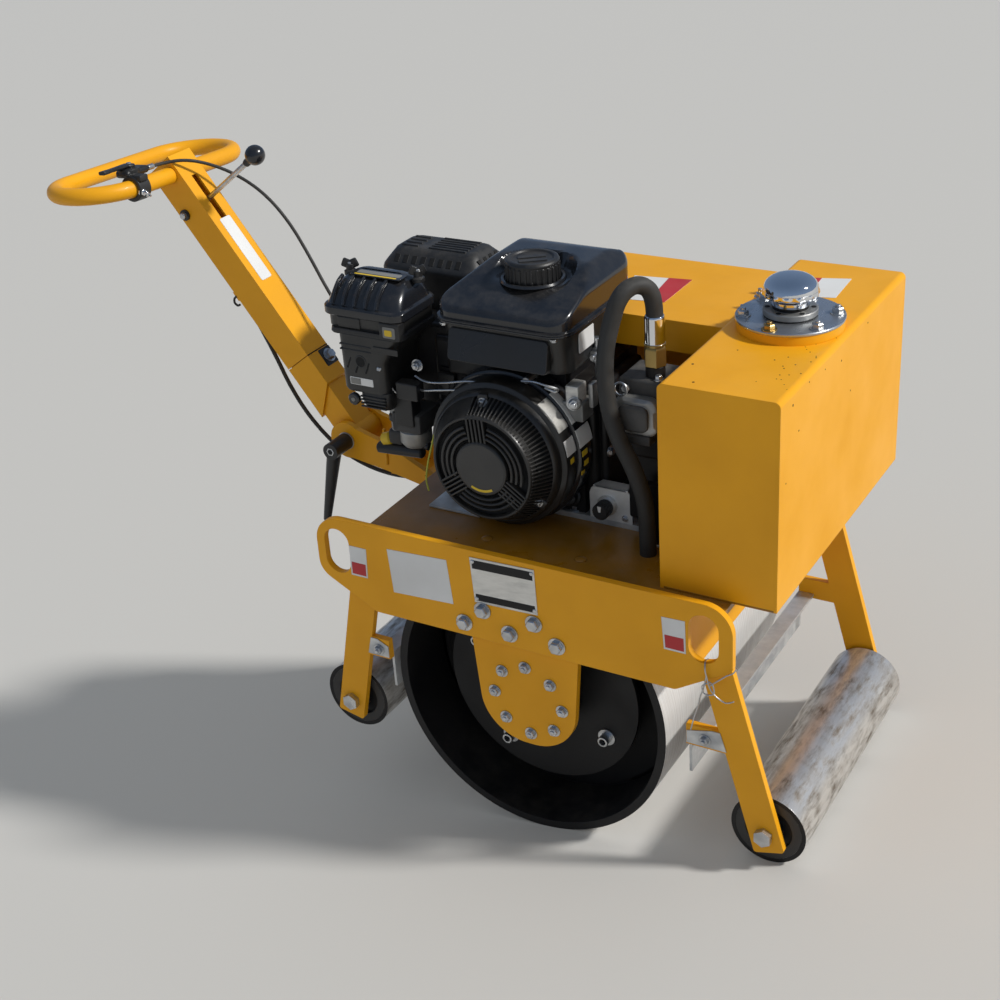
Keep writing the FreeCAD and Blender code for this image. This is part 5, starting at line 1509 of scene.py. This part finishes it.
# %% Column details
FRONT_FACE = 25.0
HOOK = ((276, -38), (275, -45), (270, -49), (264, -47), (263, -42))
label = plate(rounded_outline(-12, 12, 269, 380, 3, 4), "front", FRONT_FACE - 0.1, FRONT_FACE + 0.5, 0.15)
build("column_details", {
    "white_label": [moved(label, COLUMN)],
    "yellow_paint": [moved(block((-20, 20), (25, 27.5), (140, 141.4), 0.3), COLUMN)],
    "zinc_bolt": [moved(bolt((FRONT_FACE, 14, 122), AHEAD, 8, 7, 0, 2), COLUMN)],
    "black_plastic": [
        moved(block((18, 26), (-2, 27), (107, 137), 2.5), COLUMN),
        moved(block((-31, -25), (-13, 13), (290, 320), 1.5), COLUMN),
        round_bar(smooth_path([on_column(up, out, -12) for up, out in HOOK], 5), 1.8, 10)],
    # The seam is a thin near-black strip on the front face: painted shade in the gap between tube and sleeve.
    "painted_shade_and_chips": [moved(block((25, 25.6), (-25, 25), (137.5, 139), 0.2), COLUMN)],
}, "handle")

# %% [markdown]
# The control lever is a bright rod through the column, on a cross pin with two washers, and ends in
# a black ball. A ready-made sphere would do, but a turned half circle lies on the rod's axis.

# %% Control lever
LEVER_AT = 416.0
BALL = 15.0
pin_at = on_column(LEVER_AT, -14)
ball = [(BALL * math.sin(math.pi * k / 16), -BALL * math.cos(math.pi * k / 16)) for k in range(17)]
washer = [(8.5, 0), (8.5, 3), (6, 3.4)]
build("control_lever_dressed", {
    "zinc_bolt": [
        round_bar([on_column(LEVER_AT, out) for out in (-14, 40, 90, 138)], 4.0, 16),
        rod((pin_at.x, -34, pin_at.z), TO_LEFT, 5.0, 65)],
    "black_plastic": [
        turned([(5.4, 0), (6.0, 2), (6.0, 12), (4.4, 14)], on_column(LEVER_AT, 122), off_column, 20)]
        + [turned(washer, (pin_at.x, side * 25, pin_at.z), (0, side, 0), 24) for side in (-1, 1)],
    "black_gloss": [turned(ball, on_column(LEVER_AT, 146), off_column, 32)],
}, "handle", nodes=("control_lever",))

# %% [markdown]
# The throttle is clamped round the ring's front tube: a sleeve, a housing with a drum for the
# cable, two chromed screws and a flat lever that points across. It is drawn within the ring's own
# directions, and the ring's matrix carries it there.

# %% Throttle lever on the ring
ring_x = RING_DEPTH / 2
SLEEVE = [(13.1, 0), (17.5, 0), (19, 1.5), (19, 22.5), (17.5, 24), (13.1, 24), (13.1, 0)]


def blade(y, grow):
    """One outline of the flat lever, across its length."""
    return [(u, y, v) for u, v in rounded_outline(ring_x - 20 - grow, ring_x - 8 + grow, 29, 34, 2, 4)]


throttle = {
    "black_plastic": [
        turned(SLEEVE, (ring_x, -112, 0), TO_LEFT, 32, caps=False),
        block((ring_x - 27, ring_x - 1), (-112, -64), (14.5, 26), 5, 3),
        turned([(15, 0), (16, 1.5), (16, 10), (14, 12)], (ring_x - 14, -96, 16), steps=32),
        block((ring_x - 6, ring_x + 20), (-110, -92), (10, 20), 3),
        rod((ring_x - 14, -93, 28), UP, 9, 4),
        skin([blade(y, grow) for y, grow in ((-96, 1), (-110, 0), (-132, -1), (-146, 1), (-150, 0))])],
    "chrome": [bolt((ring_x + 14, -106, -4), (1, 0, -0.2), 5, 5, 6),
               bolt((ring_x + 10, -94, -10), (1, 0, -0.4), 4, 5, 4)],
    "zinc_bolt": [bolt((ring_x - 14, -93, 31), UP, 4, 3, 0, 0.8),
                  rod((ring_x - 3.75, -66, 21), TO_LEFT, 4.2, 12, 0.8)],
}
for shapes in throttle.values():
    for shape in shapes:
        moved(shape, RING)
build("throttle_lever_dressed", throttle, "handle", nodes=("throttle_lever",))

# %% [markdown]
# Round the pivot, small things tell how it is made: a washer and the pin's hexagon socket, a weld
# bead that wavers as a hand-laid one does, and the bolts of the bracket's foot.

# %% Pivot details
PIN_END = -79.5
WELD = ((-322, 292), (-321, 278), (-322, 262), (-321, 246), (-322, 234))
FOOT_BOLTS = [(y, z) for y in (-30, 30) for z in (208, 222)]
build("pivot_details", {
    "zinc_bolt": [
        turned([(12, 0), (14, 0.6), (14, 2.4), (12, 3)], (PIVOT.x, -35.5, PIVOT.z), TO_RIGHT, 32),
        turned([(6.5, 0), (6.5, 0.4), (0, 0.4)], (PIVOT.x, PIN_END, PIVOT.z), TO_RIGHT, 6)]
        + [bolt((-253, y, z), BACK, 6, 5, 3) for y, z in FOOT_BOLTS],
    # The pin's hexagon socket is a near-black disc: painted shade.
    "painted_shade_and_chips": [turned([(4.6, 0), (4.6, 0.5), (0, 0.5)], (PIVOT.x, PIN_END - 0.3, PIVOT.z), TO_RIGHT, 6)],
    "yellow_paint": [
        round_bar([(x, -36, z) for x, z in WELD], 2.6, 8),
        block((-262, -253), (-36, 36), (222, 228), 2)],
})

# %% [markdown]
# A thin green string hangs from the engine's controls. It is a round bar along a smooth path, like
# the wires, and only its rough finish makes it string.

# %% String
STRING = [(-170, -128, 352), (-176, -130, 330), (-184, -129, 306), (-188, -131, 280), (-186, -130, 262)]
build("tag_string", {"string": [round_bar(smooth_path(STRING, 5), 1.3, 8)]})

# %% [markdown]
# The size of the dressed model, floor left out, is printed. The dressed model has to stay in
# the frame's box.

# %% Sizes, and the end
low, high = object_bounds()
print("size", [round(v, 3) for v in high - low])
